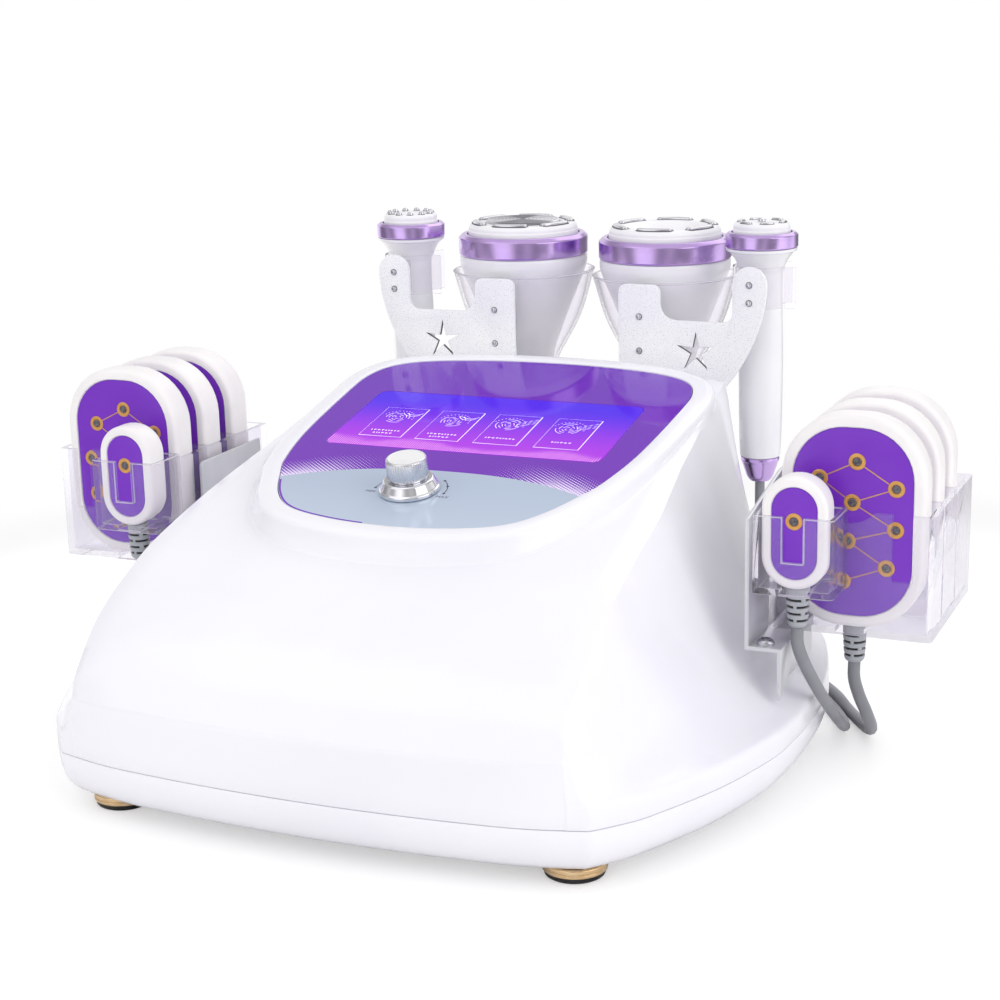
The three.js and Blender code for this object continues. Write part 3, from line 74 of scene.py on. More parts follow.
def makeCamera(lens, sensor, far, azimuth, elevation, roll, target, distance):
    turn, rise = math.radians(azimuth), math.radians(elevation)
    back = Vector((math.sin(turn) * math.cos(rise), -math.cos(turn) * math.cos(rise), math.sin(rise)))
    data = bpy.data.cameras.new("camera")
    data.lens, data.sensor_width, data.clip_end = lens, sensor, far
    camera = addObject("camera", data)
    aim = back.to_track_quat("Z", "Y").to_matrix().to_4x4()
    camera.matrix_world = Matrix.Translation((Vector(target) + back * distance) * metre) @ aim @ rotated("Z", roll)
    scene.camera = camera


makeCamera(**cameraFacts)
print("camera ready")


# Finishing a mesh

def smoothstep(value, low, high):
    share = min(max((value - low) / (high - low), 0), 1)
    return share * share * (3 - 2 * share)


def linear(code):
    parts = [int(code[i:i + 2], 16) / 255 for i in (0, 2, 4)]
    return [c / 12.92 if c <= 0.04045 else ((c + 0.055) / 1.055) ** 2.4 for c in parts] + [1]


def finishPiece(bm, name, look, nodes=(), body="console", place=None, sharp=34):
    if place is not None:
        bmesh.ops.transform(bm, matrix=place, verts=bm.verts)
    bmesh.ops.remove_doubles(bm, verts=bm.verts, dist=weld)
    bmesh.ops.dissolve_degenerate(bm, edges=bm.edges, dist=weld / 3)
    bmesh.ops.recalc_face_normals(bm, faces=bm.faces)
    bmesh.ops.scale(bm, verts=bm.verts, vec=(metre, metre, metre))
    mesh = bpy.data.meshes.new(name)
    bm.to_mesh(mesh)
    bm.free()
    return settle(mesh, name, look, nodes, body, sharp)


def settle(mesh, name, look, nodes, body, sharp):
    mesh.materials.clear()
    mesh.materials.append(bpy.data.materials[look])
    mesh.shade_smooth()
    mesh.set_sharp_from_angle(angle=math.radians(sharp))
    piece = addObject(name, mesh)
    if body:
        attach(piece, body)
    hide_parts(*nodes)
    return piece


# The mesh of an object with its modifiers, curve or letters worked out
def evaluated(thing):
    bpy.context.view_layer.update()
    return bpy.data.meshes.new_from_object(thing.evaluated_get(bpy.context.evaluated_depsgraph_get()))


# Corners of a line of (across, up, radius) points rounded off
def softened(points, steps):
    line = []
    for i, point in enumerate(points):
        radius = point[2] if len(point) > 2 else 0
        here = Vector(point[:2])
        if radius == 0 or i in (0, len(points) - 1):
            line.append(here)
            continue
        before, after = Vector(points[i - 1][:2]), Vector(points[i + 1][:2])
        reach = min(radius, 0.48 * (before - here).length, 0.48 * (after - here).length)
        start = here + (before - here).normalized() * reach
        end = here + (after - here).normalized() * reach
        for j in range(steps + 1):
            t = j / steps
            line.append(start * (1 - t) ** 2 + here * 2 * t * (1 - t) + end * t * t)
    return line


def spun(bm, profile, steps=64, rounding=4):
    verts = [bm.verts.new((p[0], 0, p[1])) for p in softened(profile, rounding)]
    edges = [bm.edges.new(pair) for pair in zip(verts, verts[1:])]
    bmesh.ops.spin(bm, geom=verts + edges, cent=(0, 0, 0), axis=(0, 0, 1), angle=math.tau,
                   steps=steps, use_merge=True)
    bmesh.ops.remove_doubles(bm, verts=bm.verts, dist=weld)


def turnedPiece(name, profile, centre, look, nodes=(), body="console", steps=64):
    bm = bmesh.new()
    spun(bm, profile, steps)
    return finishPiece(bm, name, look, nodes, body, Matrix.Translation(centre))


def ringOf(bm, points):
    verts = [bm.verts.new(p) for p in points]
    return verts, [bm.edges.new((a, b)) for a, b in zip(verts, verts[1:] + verts[:1])]


def vertsOf(made):
    return [g for g in made["geom"] if isinstance(g, bmesh.types.BMVert)]


# A closed loop of points carried through further loops of as many points
def lofted(bm, loops, capStart=True, capEnd=True):
    verts, edges = ringOf(bm, loops[0])
    if capStart:
        bmesh.ops.contextual_create(bm, geom=edges)
    for points in loops[1:]:
        made = bmesh.ops.extrude_edge_only(bm, edges=edges)
        partner = {}
        for vert in vertsOf(made):
            for edge in vert.link_edges:
                other = edge.other_vert(vert)
                if other in verts:
                    partner[other] = vert
        verts = [partner[v] for v in verts]
        for vert, point in zip(verts, points):
            vert.co = point
        kept = set(verts)
        edges = [e for e in made["geom"] if isinstance(e, bmesh.types.BMEdge) and kept.issuperset(e.verts)]
    if capEnd:
        bmesh.ops.contextual_create(bm, geom=edges)


def roundedRectangle(width, height, radius, steps=8):
    radius = max(min(radius, width / 2 - 0.01, height / 2 - 0.01), 0.01)
    points = []
    for turn, (x, y) in enumerate(((1, 1), (-1, 1), (-1, -1), (1, -1))):
        for i in range(steps + 1):
            across, up = polar(radius, (turn + i / steps) * math.pi / 2)
            points.append((x * (width / 2 - radius) + across, y * (height / 2 - radius) + up))
    return points


def eased(bm, edges, offset, segments=2, clamp=True):
    return bmesh.ops.bevel(bm, geom=edges, offset=offset, segments=segments, profile=0.5, affect="EDGES",
                           material=-1, clamp_overlap=clamp)["faces"]


def isLevel(edge):
    return abs(edge.verts[0].co.z - edge.verts[1].co.z) < level


# A flat outline given thickness, with its rims rounded by an edge radius
def slab(bm, outline, low, high, edge=0, steps=2):
    start = set(bm.faces)
    face = bm.faces.new(ringOf(bm, [(x, y, low) for x, y in outline])[0])
    made = bmesh.ops.extrude_face_region(bm, geom=[face])
    bmesh.ops.translate(bm, verts=vertsOf(made), vec=(0, 0, high - low))
    faces = [f for f in bm.faces if f not in start]
    bmesh.ops.recalc_face_normals(bm, faces=faces)
    if edge:
        eased(bm, list({e for f in faces for e in f.edges if isLevel(e)}), edge, steps)


# A flat sheet with holes given thickness, with its rims rounded on both faces or only on the first
def sheet(bm, outlines, start, end, edge, both):
    edges = []
    for outline in outlines:
        edges += ringOf(bm, [(x, y, start) for x, y in outline])[1]
    bmesh.ops.triangle_fill(bm, edges=edges, use_beauty=True)
    bmesh.ops.dissolve_limit(bm, angle_limit=0.01, verts=bm.verts, edges=bm.edges)
    made = bmesh.ops.extrude_face_region(bm, geom=list(bm.faces))
    bmesh.ops.translate(bm, verts=vertsOf(made), vec=(0, 0, end - start))
    rims = [e for e in bm.edges if isLevel(e) and (both or abs(e.verts[0].co.z - start) < level)
            and any(abs(f.normal.z) < 0.5 for f in e.link_faces)]
    eased(bm, rims, edge, clamp=False)


# A part is made by itself and placed in a larger mesh
def joinPart(bm, part, place):
    bmesh.ops.transform(part, matrix=place, verts=part.verts)
    mesh = bpy.data.meshes.new("part")
    part.to_mesh(mesh)
    part.free()
    bm.from_mesh(mesh)
    bpy.data.meshes.remove(mesh)


def addSpun(bm, profile, steps, place):
    part = bmesh.new()
    spun(part, profile, steps)
    joinPart(bm, part, place)


def addSlab(bm, outline, low, high, place, edge=0, steps=2):
    part = bmesh.new()
    slab(part, outline, low, high, edge, steps)
    joinPart(bm, part, place)


# Standing across the machine: the outline's up becomes Z and its thickness runs forward along Y
standUp = rotated("X", 90)


# The CAD node's own solid with its facets merged and its edges eased; the eased rims may also have their own look, a
# lifted copy that carries a painted highlight
def easedCopy(node, name, look, easing, body="console", rim=None):
    hardAngle, copySharp, rimLift = 38, 30, 0.04
    bm = bmesh.new()
    bm.from_mesh(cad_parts[node].data)
    bmesh.ops.scale(bm, verts=bm.verts, vec=(1 / metre, 1 / metre, 1 / metre))
    bmesh.ops.remove_doubles(bm, verts=bm.verts, dist=0.01)
    bmesh.ops.dissolve_limit(bm, angle_limit=math.radians(1), verts=bm.verts, edges=bm.edges)
    hard = [e for e in bm.edges if len(e.link_faces) == 2 and e.calc_face_angle(0) > math.radians(hardAngle)]
    rims = eased(bm, hard, easing)
    if rim:
        bm.normal_update()
        bm.faces.index_update()
        kept = {f.index for f in rims}
        lines = bm.copy()
        bmesh.ops.delete(lines, geom=[f for f in lines.faces if f.index not in kept], context="FACES")
        for vert in lines.verts:
            vert.co += vert.normal * rimLift
        finishPiece(lines, name + "RimHighlights", rim, (), body, sharp=copySharp)
    return finishPiece(bm, name, look, (node,), body, sharp=copySharp)


# Shader nodes

# Sets or links a node's inputs
def feed(tree, node, wires):
    for socket, value in dict(wires).items():
        if isinstance(value, bpy.types.NodeSocket):
            tree.links.new(value, node.inputs[socket])
        else:
            node.inputs[socket].default_value = value


def addNode(tree, kind, wires=(), **settings):
    made = tree.nodes.new(kind)
    for key, value in settings.items():
        setattr(made, key, value)
    feed(tree, made, wires)
    return made


def sums(tree, operation, *values):
    return addNode(tree, "ShaderNodeMath", dict(enumerate(values)), operation=operation).outputs[0]


def blendColours(tree, share, first, second):
    return addNode(tree, "ShaderNodeMix", {0: share, 6: first, 7: second}, data_type="RGBA").outputs[2]


def blendValues(tree, share, first, second):
    return addNode(tree, "ShaderNodeMix", {0: share, 2: first, 3: second}).outputs[0]


def ramped(tree, value, low, high, start=0, end=1, kind="SMOOTHSTEP"):
    wires = {0: value, 1: low, 2: high, 3: start, 4: end}
    return addNode(tree, "ShaderNodeMapRange", wires, interpolation_type=kind).outputs[0]


def coordinates(tree, kind="Object"):
    return addNode(tree, "ShaderNodeTexCoord").outputs[kind]


def noise(tree, place, scale, detail):
    return addNode(tree, "ShaderNodeTexNoise", {"Vector": place, "Scale": scale, "Detail": detail}).outputs[0]


def parted(tree, vector):
    return addNode(tree, "ShaderNodeSeparateXYZ", {0: vector}).outputs


# A node group, with its inputs as sockets to use and its output node to feed
def newGroup(name, inputs, outputs):
    group = bpy.data.node_groups.new(name, "ShaderNodeTree")
    for direction, sockets in (("INPUT", inputs), ("OUTPUT", outputs)):
        for label, kind in sockets.items():
            group.interface.new_socket(label, in_out=direction, socket_type="NodeSocket" + kind)
    return group, addNode(group, "NodeGroupInput").outputs, addNode(group, "NodeGroupOutput")


def makeFineGrain():
    group, given, out = newGroup(
        "fineGrain",
        {"Scale": "Float", "Roughness": "Float", "Spread": "Float", "Depth": "Float", "Stretch": "Vector"},
        {"Roughness": "Float", "Normal": "Vector"})
    place = addNode(group, "ShaderNodeMapping", {"Vector": coordinates(group), "Scale": given["Stretch"]}).outputs[0]
    grain = noise(group, place, given["Scale"], 3)
    rough = sums(group, "MULTIPLY_ADD", sums(group, "SUBTRACT", grain, 0.5), given["Spread"], given["Roughness"])
    bump = addNode(group, "ShaderNodeBump", {"Strength": given["Depth"], "Distance": 0.0002, "Height": grain})
    feed(group, out, {"Roughness": rough, "Normal": bump.outputs[0]})
    return group


def makeSoftMottle():
    group, given, out = newGroup(
        "softMottle", {"Color": "Color", "Shade": "Color", "Scale": "Float", "Amount": "Float"},
        {"Color": "Color"})
    cloud = noise(group, coordinates(group), given["Scale"], 5)
    share = sums(group, "MULTIPLY", ramped(group, cloud, 0.35, 0.7), given["Amount"])
    feed(group, out, {"Color": blendColours(group, share, given["Color"], given["Shade"])})
    return group


def makeDotField():
    group, given, out = newGroup("dotField", {"Vector": "Vector", "Pitch": "Float", "Radius": "Float"},
                                 {"Mask": "Float"})
    scaling = {0: given["Vector"], "Scale": sums(group, "DIVIDE", 1, given["Pitch"])}
    cells = addNode(group, "ShaderNodeVectorMath", scaling, operation="SCALE").outputs[0]
    inside = parted(group, addNode(group, "ShaderNodeVectorMath", {0: cells}, operation="FRACTION").outputs[0])
    across, along = (sums(group, "POWER", sums(group, "SUBTRACT", inside[i], 0.5), 2) for i in (0, 1))
    reach = sums(group, "SQRT", sums(group, "ADD", across, along))
    feed(group, out, {"Mask": ramped(group, sums(group, "SUBTRACT", given["Radius"], reach), -0.04, 0.04)})
    return group


fineGrain, softMottle, dotField = makeFineGrain(), makeSoftMottle(), makeDotField()


def startMaterial(name, settings):
    material = bpy.data.materials.new(name)
    material.use_nodes = True
    shader = material.node_tree.nodes["Principled BSDF"]
    feed(material.node_tree, shader, settings)
    return material.node_tree, shader


def addGrain(tree, shader, scale, roughness, spread, depth, stretch=(1, 1, 1)):
    grain = addNode(tree, "ShaderNodeGroup", {}, node_tree=fineGrain)
    feed(tree, grain, {"Scale": scale, "Roughness": roughness, "Spread": spread, "Depth": depth, "Stretch": stretch})
    feed(tree, shader, {"Roughness": grain.outputs["Roughness"], "Normal": grain.outputs["Normal"]})


def mottled(tree, color, shade, scale, amount):
    wires = {"Color": linear(color), "Shade": linear(shade), "Scale": scale, "Amount": amount}
    return addNode(tree, "ShaderNodeGroup", wires, node_tree=softMottle).outputs["Color"]


def plainMaterial(name, slot, color, shade, roughness, grain, mottle, settings=(), stretch=(1, 1, 1)):
    tree, shader = startMaterial(name, settings)
    scale, spread, depth = grain
    feed(tree, shader, {"Base Color": mottled(tree, color, shade, *mottle)})
    addGrain(tree, shader, scale, roughness, spread, depth, stretch)


# Slot, two colours, roughness, grain (scale, spread, depth), mottle (scale, amount), shader settings, grain's stretch
metal = {"Metallic": 1.0}
looks = {
    "housingWhite": ("housing_white", "f5f4fa", "efeef6", 0.26, (420, 0.05, 0.02), (9, 0.7),
                     {"Coat Weight": 0.4, "Coat Roughness": 0.05, "Specular IOR Level": 0.4}),
    "handleWhite": ("handle_white", "f1f0f4", "e9e8ee", 0.26, (600, 0.06, 0.03), (30, 0.7),
                    {"Coat Weight": 0.3, "Coat Roughness": 0.12}),
    "headWhite": ("head_white", "f3f2f5", "eae9ef", 0.34, (900, 0.06, 0.04), (40, 0.7)),
    "padWhite": ("pad_white", "f6f3f3", "eeeaed", 0.38, (1100, 0.08, 0.06), (35, 0.8),
                 {"Subsurface Weight": 0.05, "Subsurface Radius": (0.004, 0.003, 0.003)}),
    "anodisedPurple": ("ring_purple", "cbaee6", "bb9adb", 0.22, (260, 0.06, 0.03), (60, 0.5),
                       {"Metallic": 1.0, "Coat Weight": 0.2, "Coat Roughness": 0.06}, (0.3, 0.3, 14)),
    "electrodeChrome": ("electrode_chrome", "dddce1", "cbcad1", 0.14, (700, 0.06, 0.03), (90, 0.6), metal),
    "satinSilver": ("knob_silver", "e2e2e6", "cfcfd6", 0.28, (500, 0.12, 0.06), (80, 0.6), metal, (0.4, 0.4, 9)),
    "polishedSilver": ("knob_silver", "e9e9ed", "dadae0", 0.12, (500, 0.05, 0.02), (80, 0.5), metal),
    # The knob's top is a near-white, partly diffuse copy of the silver: a lit copy that paints the highlight where it
    # faces the lamps
    "knobLitTop": ("knob_silver", "fafafb", "efeff3", 0.42, (900, 0.1, 0.03), (70, 0.6), {"Metallic": 0.35}),
    "footBrass": ("foot_brass", "eccfa6", "d8b380", 0.2, (420, 0.1, 0.04), (120, 0.6), metal, (0.5, 0.5, 10)),
    "bracketSteel": ("bracket_steel", "dcdce1", "cecfd5", 0.34, (800, 0.12, 0.06), (40, 0.7), {"Metallic": 0.6},
                     (8, 0.6, 0.6)),
    "screwSteel": ("bracket_steel", "d2d2d7", "a3a3ab", 0.22, (900, 0.12, 0.05), (200, 0.7), metal),
    "reliefGrey": ("relief_grey", "a9abb2", "9a9ca4", 0.5, (1500, 0.12, 0.16), (60, 0.7)),
    "cordGrey": ("cord_dark", "8d8e94", "7b7c83", 0.46, (1300, 0.12, 0.12), (40, 0.8)),
    "connectorGrey": ("connector_grey", "55575d", "44464c", 0.4, (900, 0.1, 0.1), (70, 0.7)),
    "rearBlack": ("rear_black", "232327", "19191c", 0.46, (1600, 0.14, 0.3), (50, 0.8)),
    "rockerBlack": ("rocker_black", "161618", "0f0f11", 0.3, (900, 0.08, 0.05), (70, 0.7)),
    # Dark grey for painted shade: round the foot of the heads' electrodes and studs, on the stars' cut walls and under
    # the rack's screws
    "paintedShadeGrey": ("head_white", "67666e", "57565e", 0.5, (900, 0.1, 0.05), (90, 0.6)),
    "padGold": ("pad_purple", "dba55c", "c98e48", 0.32, (1200, 0.1, 0.08), (200, 0.6), {"Metallic": 0.4}),
    "lensGlass": ("pad_purple", "5a5560", "2c2930", 0.1, (900, 0.04, 0.02), (900, 0.9), {"Coat Weight": 1.0}),
    "iconInk": ("screen_glass", "f4ecff", "e2d2fa", 0.3, (900, 0.08, 0.05), (14, 0.7),
                {"Emission Color": linear("efe2ff"), "Emission Strength": 0.55}),
    "dialInk": ("panel_purple", "3a3550", "4a4560", 0.4, (900, 0.08, 0.05), (14, 0.7)),
}
for name, facts in looks.items():
    plainMaterial(name, *facts)


# Shadow and diffuse rays go by clear plastic
def letBy(tree, shader, held, share):
    path = addNode(tree, "ShaderNodeLightPath").outputs
    passing = sums(tree, "MAXIMUM", path["Is Shadow Ray"], path["Is Diffuse Ray"])
    feed(tree, shader, {"Alpha": sums(tree, "MULTIPLY_ADD", passing, -share, held)})


# It shows darker where it is seen edge on; its haze is a faint white emission, a painted glow
def makeAcrylic(name, color, shade, outline, clearness, bend, glowHaze):
    tree, shader = startMaterial(name, {
        "IOR": bend, "Coat Weight": 0.25, "Coat Roughness": 0.03, "Transmission Weight": clearness,
        "Emission Color": white, "Emission Strength": glowHaze})
    facing = addNode(tree, "ShaderNodeLayerWeight", {"Blend": 0.5}).outputs["Facing"]
    base = mottled(tree, color, shade, 40, 0.5)
    feed(tree, shader, {"Base Color": blendColours(tree, ramped(tree, facing, 0.55, 0.95), base, linear(outline))})
    letBy(tree, shader, 1, 0.95)
    addGrain(tree, shader, 300, 0.04, 0.02, 0.01)


# Painted highlight for the polished rims: a pale, half see-through colour with a faint glow stands in for the light
# they catch
def makeAcrylicRimHighlight():
    tree, shader = startMaterial("acrylicRimHighlight", {"Metallic": 0.3, "Emission Color": white,
                                                                 "Emission Strength": 0.06})
    feed(tree, shader, {"Base Color": mottled(tree, "d3cfd9", "c1bdc8", 60, 0.7)})
    letBy(tree, shader, 0.62, 0.6)
    addGrain(tree, shader, 500, 0.2, 0.08, 0.02)


def makeRackWhite():
    tree, shader = startMaterial("rackPowderWhite", {"Specular IOR Level": 0.35})
    share = ramped(tree, noise(tree, coordinates(tree), 1500, 2), 0.55, 0.68, 0, 0.75)
    base = mottled(tree, "fafafc", "f3f3f7", 20, 0.7)
    feed(tree, shader, {"Base Color": blendColours(tree, share, base, linear("c2c2cb"))})
    addGrain(tree, shader, 1500, 0.5, 0.12, 0.5)


# The last number is the strength of the haze's painted glow
makeAcrylic("clearAcrylic", "f1eff5", "edebf2", "cfccd6", 0.96, 1.04, 0.0)
makeAcrylic("smokedAcrylic", "f3f1f5", "edebf0", "97929a", 0.9, 1.06, 0.015)
makeAcrylicRimHighlight()
makeRackWhite()

# Control panel's plane: across, up the slope and out of it, in millimetres
panelFacts = {
    "origin": (0, -28.8, 152.2),
    "tilt": 11,
    "halfWidth": 97,
    "front": -88,
    "rear": 125,
    "shares": [(0.00, 0.000), (0.30, 0.011), (0.57, 0.048), (0.725, 0.119), (0.845, 0.232), (0.905, 0.310),
               (0.965, 0.475), (0.995, 0.738), (0.985, 0.849), (0.900, 0.924), (0.700, 0.968), (0.360, 0.993),
               (0.00, 1.000)],
    "sink": 0.6,
    "thickness": 2.5,
    "rim": 12,
    "screen": (154, 72, 5),
    "arcPeak": -23.8,
    "arcFall": 22,
    "arcHalf": 87,
    "arcMiddle": 6,
}
panelPlace = Matrix.Translation(panelFacts["origin"]) @ rotated("X", panelFacts["tilt"])


def panelCoordinates(tree):
    wires = {"Vector": coordinates(tree), "Location": [c * metre for c in panelFacts["origin"]],
             "Rotation": (math.radians(panelFacts["tilt"]), 0, 0), "Scale": (metre, metre, metre)}
    return addNode(tree, "ShaderNodeMapping", wires, vector_type="TEXTURE").outputs[0]


def dots(tree, place, pitch, radius):
    wires = {"Vector": place, "Pitch": pitch, "Radius": radius}
    return addNode(tree, "ShaderNodeGroup", wires, node_tree=dotField).outputs["Mask"]


# Purple over grey, parted by an arc, with dots that fade upward at both sides
def makePanelInk():
    tree, shader = startMaterial("panelAcrylic", {"Coat Weight": 0.5, "Coat Roughness": 0.02,
                                                                  "Specular IOR Level": 0.15})
    place = panelCoordinates(tree)
    across, along, _ = parted(tree, place)
    aside = sums(tree, "ABSOLUTE", sums(tree, "SUBTRACT", across, panelFacts["arcMiddle"]))
    square = sums(tree, "POWER", sums(tree, "DIVIDE", aside, panelFacts["arcHalf"]), 2.4)
    arc = sums(tree, "MULTIPLY_ADD", square, -panelFacts["arcFall"], panelFacts["arcPeak"])
    above = sums(tree, "SUBTRACT", along, arc)
    purple = blendColours(tree, ramped(tree, along, -30, 120), linear("7019b8"), linear("6a16bc"))
    outward = ramped(tree, sums(tree, "ABSOLUTE", across), 18, 74)
    slanted = addNode(tree, "ShaderNodeMapping", {"Vector": place, "Rotation": (0, 0, math.radians(38))}).outputs[0]
    low = ramped(tree, above, 0, 23, 0.56, 0.0, "LINEAR")
    high = ramped(tree, along, 92, 124, 0, 0.36, "LINEAR")
    for reach, pitch, strength, color in ((low, 1.7, 0.95, "efe2ff"), (high, 1.3, 0.5, "b9a0e4")):
        mask = dots(tree, slanted, pitch, sums(tree, "MULTIPLY", reach, outward))
        purple = blendColours(tree, sums(tree, "MULTIPLY", mask, strength), purple, linear(color))
    grey = blendColours(tree, ramped(tree, along, -90, -30), linear("bdcadd"), linear("b4c1d6"))
    feed(tree, shader, {"Base Color": blendColours(tree, ramped(tree, above, -0.25, 0.25), grey, purple)})
    addGrain(tree, shader, 500, 0.1, 0.03, 0.01)


# A glow from magenta to blue, with waves of dots at its foot
def makeScreenGlow():
    tree, shader = startMaterial("screenGlass", {"Coat Weight": 0.3, "Coat Roughness": 0.02,
                                                                 "Emission Strength": 0.85, "Specular IOR Level": 0.1})
    place = panelCoordinates(tree)
    along = parted(tree, place)[1]
    color = blendColours(tree, ramped(tree, along, 2, 66), linear("b432ea"), linear("4a12ee"))
    height = sums(tree, "MULTIPLY_ADD", noise(tree, place, 0.03, 1), 22, -2)
    under = ramped(tree, sums(tree, "SUBTRACT", height, along), -3, 5, 0, 0.4)
    color = blendColours(tree, sums(tree, "MULTIPLY", dots(tree, place, 1.3, under), 0.85), color, linear("fba6fb"))
    feed(tree, shader, {"Base Color": blendColours(tree, 0.85, color, linear("14062c")), "Emission Color": color})
    addGrain(tree, shader, 500, 0.12, 0.03, 0.01)


def makePadPurple():
    tree, shader = startMaterial("padPurple", {"Coat Weight": 0.12, "Coat Roughness": 0.1,
                                                             "Specular IOR Level": 0.3})
    feed(tree, shader, {"Base Color": mottled(tree, "742dbe", "7b36c5", 25, 0.8)})
    addGrain(tree, shader, 700, 0.24, 0.08, 0.04)


# Waves round an axis: each (count, start, size) adds a sine of the angle
def wavesRound(tree, vector, waves):
    x, y, _ = parted(tree, vector)
    angle = sums(tree, "ARCTAN2", y, x)
    whole = 0
    for count, start, size in waves:
        wave = sums(tree, "SINE", sums(tree, "MULTIPLY_ADD", angle, count, start))
        whole = sums(tree, "MULTIPLY_ADD", wave, size, whole)
    return whole


# Metal turned on a lathe, with painted light and dark sectors round its axis standing in for the reflections of its
# grooves
def makeTurnedSteel():
    tree, shader = startMaterial("turnedSteel", {"Metallic": 1.0, "Anisotropic": 0.85})
    axis = (-0.0444, 0.1692, 0)  # the large left hand piece's axis, in metres
    place = addNode(tree, "ShaderNodeVectorMath", {0: coordinates(tree), 1: axis}, operation="SUBTRACT").outputs[0]
    share = ramped(tree, wavesRound(tree, place, ((2, 0.5, 1), (5, 1.4, 0.4))), -0.7, 0.8)
    base = mottled(tree, "e6e5ea", "d4d3d9", 90, 0.6)
    tangent = addNode(tree, "ShaderNodeTangent", direction_type="RADIAL", axis="Z").outputs[0]
    feed(tree, shader, {"Base Color": blendColours(tree, share, linear("86858c"), base), "Tangent": tangent})
    addGrain(tree, shader, 900, 0.3, 0.08, 0.03)


makePanelInk()
makeScreenGlow()
makePadPurple()
makeTurnedSteel()
print("materials ready")

# Free cords: the same routes as the solids have
padDiameter, handleDiameter = 6.2, 5.6
coilFacts = {"clearance": 0.8, "middleShare": 5.5, "tailSpread": 9.5, "coilY": 182, "tableGap": 0.1, "plug": 6.2}
smallLead = [
    (184.1, -46.7, 83.1), (184.1, -46.7, 75), (187, -45, 65), (192.2, -37, 49), (194.2, -22, 35),
    (194, -2, 21.5), (192, 17, 11.5), (187.8, 33, 6), (182.8, 48, 3.4), (175.5, 61, 3.2), (166, 74, 3.2),
    (153.5, 88, 3.2), (139, 102, 3.2), (121, 115, 3.2), (101, 123.6, 3.2), (78, 127.2, 3.2),
    (40, 127.2, 3.2), (0, 127.2, 3.2), (-36, 127.4, 3.2), (-60, 130.5, 3.2), (-75, 140, 3.2),
    (-81.5, 154, 3.2), (-82.3, 167, 3.2),
]
bigLead = [
    (204.4, -15.7, 58.2), (204.4, -15.7, 50), (205.6, -10, 39), (206.6, 2, 26), (205.8, 18, 12),
    (200, 35, 4.6), (191, 50, 3.2), (182, 64, 3.2), (173.5, 79, 3.2), (162, 94.5, 3.2), (147.5, 108.5, 3.2),
    (130.5, 120, 3.2), (109.5, 129.2, 3.2), (84, 134.6, 3.2), (60, 135, 3.2), (38, 137.5, 3.2),
    (21, 145.5, 3.2), (13, 157, 3.2), (11.7, 168, 3.2),
]
handleLead = [
    (108.2, 148.3, 103.2), (108.2, 148.3, 96), (108.1, 148.4, 70), (107.4, 148.8, 40), (106.4, 151.5, 18),
    (105.5, 159, 6), (105.2, 168, 3),
]


def throughPoints(points, steps):
    points = [Vector(p) for p in points]
    whole = [2 * points[0] - points[1]] + points + [2 * points[-1] - points[-2]]
    line = []
    for a, b, c, d in zip(whole, whole[1:], whole[2:], whole[3:]):
        first, span, last = (max((q - p).length, 0.001) ** 0.5 for p, q in ((a, b), (b, c), (c, d)))
        leave = ((b - a) / first - (c - a) / (first + span) + (c - b) / span) * span
        reach = ((c - b) / span - (d - b) / (span + last) + (d - c) / last) * span
        for i in range(steps):
            t = i / steps
            line.append((2 * t ** 3 - 3 * t * t + 1) * b + (t ** 3 - 2 * t * t + t) * leave
                        + (3 * t * t - 2 * t ** 3) * c + (t ** 3 - t * t) * reach)
    return line + [points[-1]]


# Two layers: it spirals in, climbs where it turns back, spirals out again and comes down at the end
def coilRoute(x, diameter, turns, clearance, middleShare, tailSpread, coilY, tableGap, plug):
    perTurn = 18
    pitch = diameter + clearance
    outer = middleShare * diameter + turns / 4 * pitch
    low = diameter / 2 + tableGap
    steps = round(turns * perTurn)
    points = []
    for i in range(steps + 1):
        turn = i / steps * turns
        climb = smoothstep(turn, turns / 2 - 0.25, turns / 2 + 0.25)
        swing = smoothstep(turn, turns - 0.5, turns)
        drop = smoothstep(turn, turns - 0.25, turns) * (low + pitch - plug - tableGap)
        radius = outer - (turns / 2 - abs(turn - turns / 2)) * pitch + swing * tailSpread
        across, along = polar(radius, turn * math.tau)
        points.append(Vector((x + across, coilY + along, low + climb * pitch - drop)))
    start = points[0] - Vector((0, diameter, 0))
    run = points[-1] - points[-2]
    run.z = 0
    return [start] + points + [points[-1] + run.normalized() * diameter]


def makeCord(name, word, route, diameter, body, start, end):
    curve = bpy.data.curves.new(name + "Line", "CURVE")
    curve.dimensions = "3D"
    curve.bevel_depth = diameter / 2 * metre
    curve.bevel_resolution = 3
    curve.use_fill_caps = True
    spline = curve.splines.new("POLY")
    spline.points.add(len(route) - 1)
    for point, place in zip(spline.points, route):
        point.co = (*(place * metre), 1)
    line = addObject(name + "Line", curve)
    mesh = evaluated(line)
    bpy.data.objects.remove(line)
    cord = settle(mesh, name + "Cord", "cordGrey", (word + "_lead", word + "_coil"), None, 50)
    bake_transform(cord)
    return cord


def makeConnector(name, word, route, radius):
    run = route[-1] - route[-2]
    heading = math.atan2(run.y, run.x)
    bm = bmesh.new()
    profile = [(0, 0), (radius * 0.56, 0), (radius * 0.6, 5), (radius * 0.98, 11, 2), (radius, 28, 1),
               (radius * 0.94, 29.4), (radius * 0.94, 30.6), (radius, 30.9), (radius, 33.4, 0.6),
               (radius * 0.86, 34), (4.2, 34), (4.2, 42.6, 0.5), (3.4, 43), (3.2, 41), (0, 41)]
    spun(bm, profile, 40)
    across, along = polar(0.3, heading)
    place = (Matrix.Translation(route[-1] + Vector((across, along, 0))) @ Matrix.Rotation(heading, 4, "Z")
             @ rotated("Y", 90))
    return finishPiece(bm, name + "Connector", "connectorGrey", (word + "_connector",), place=place)


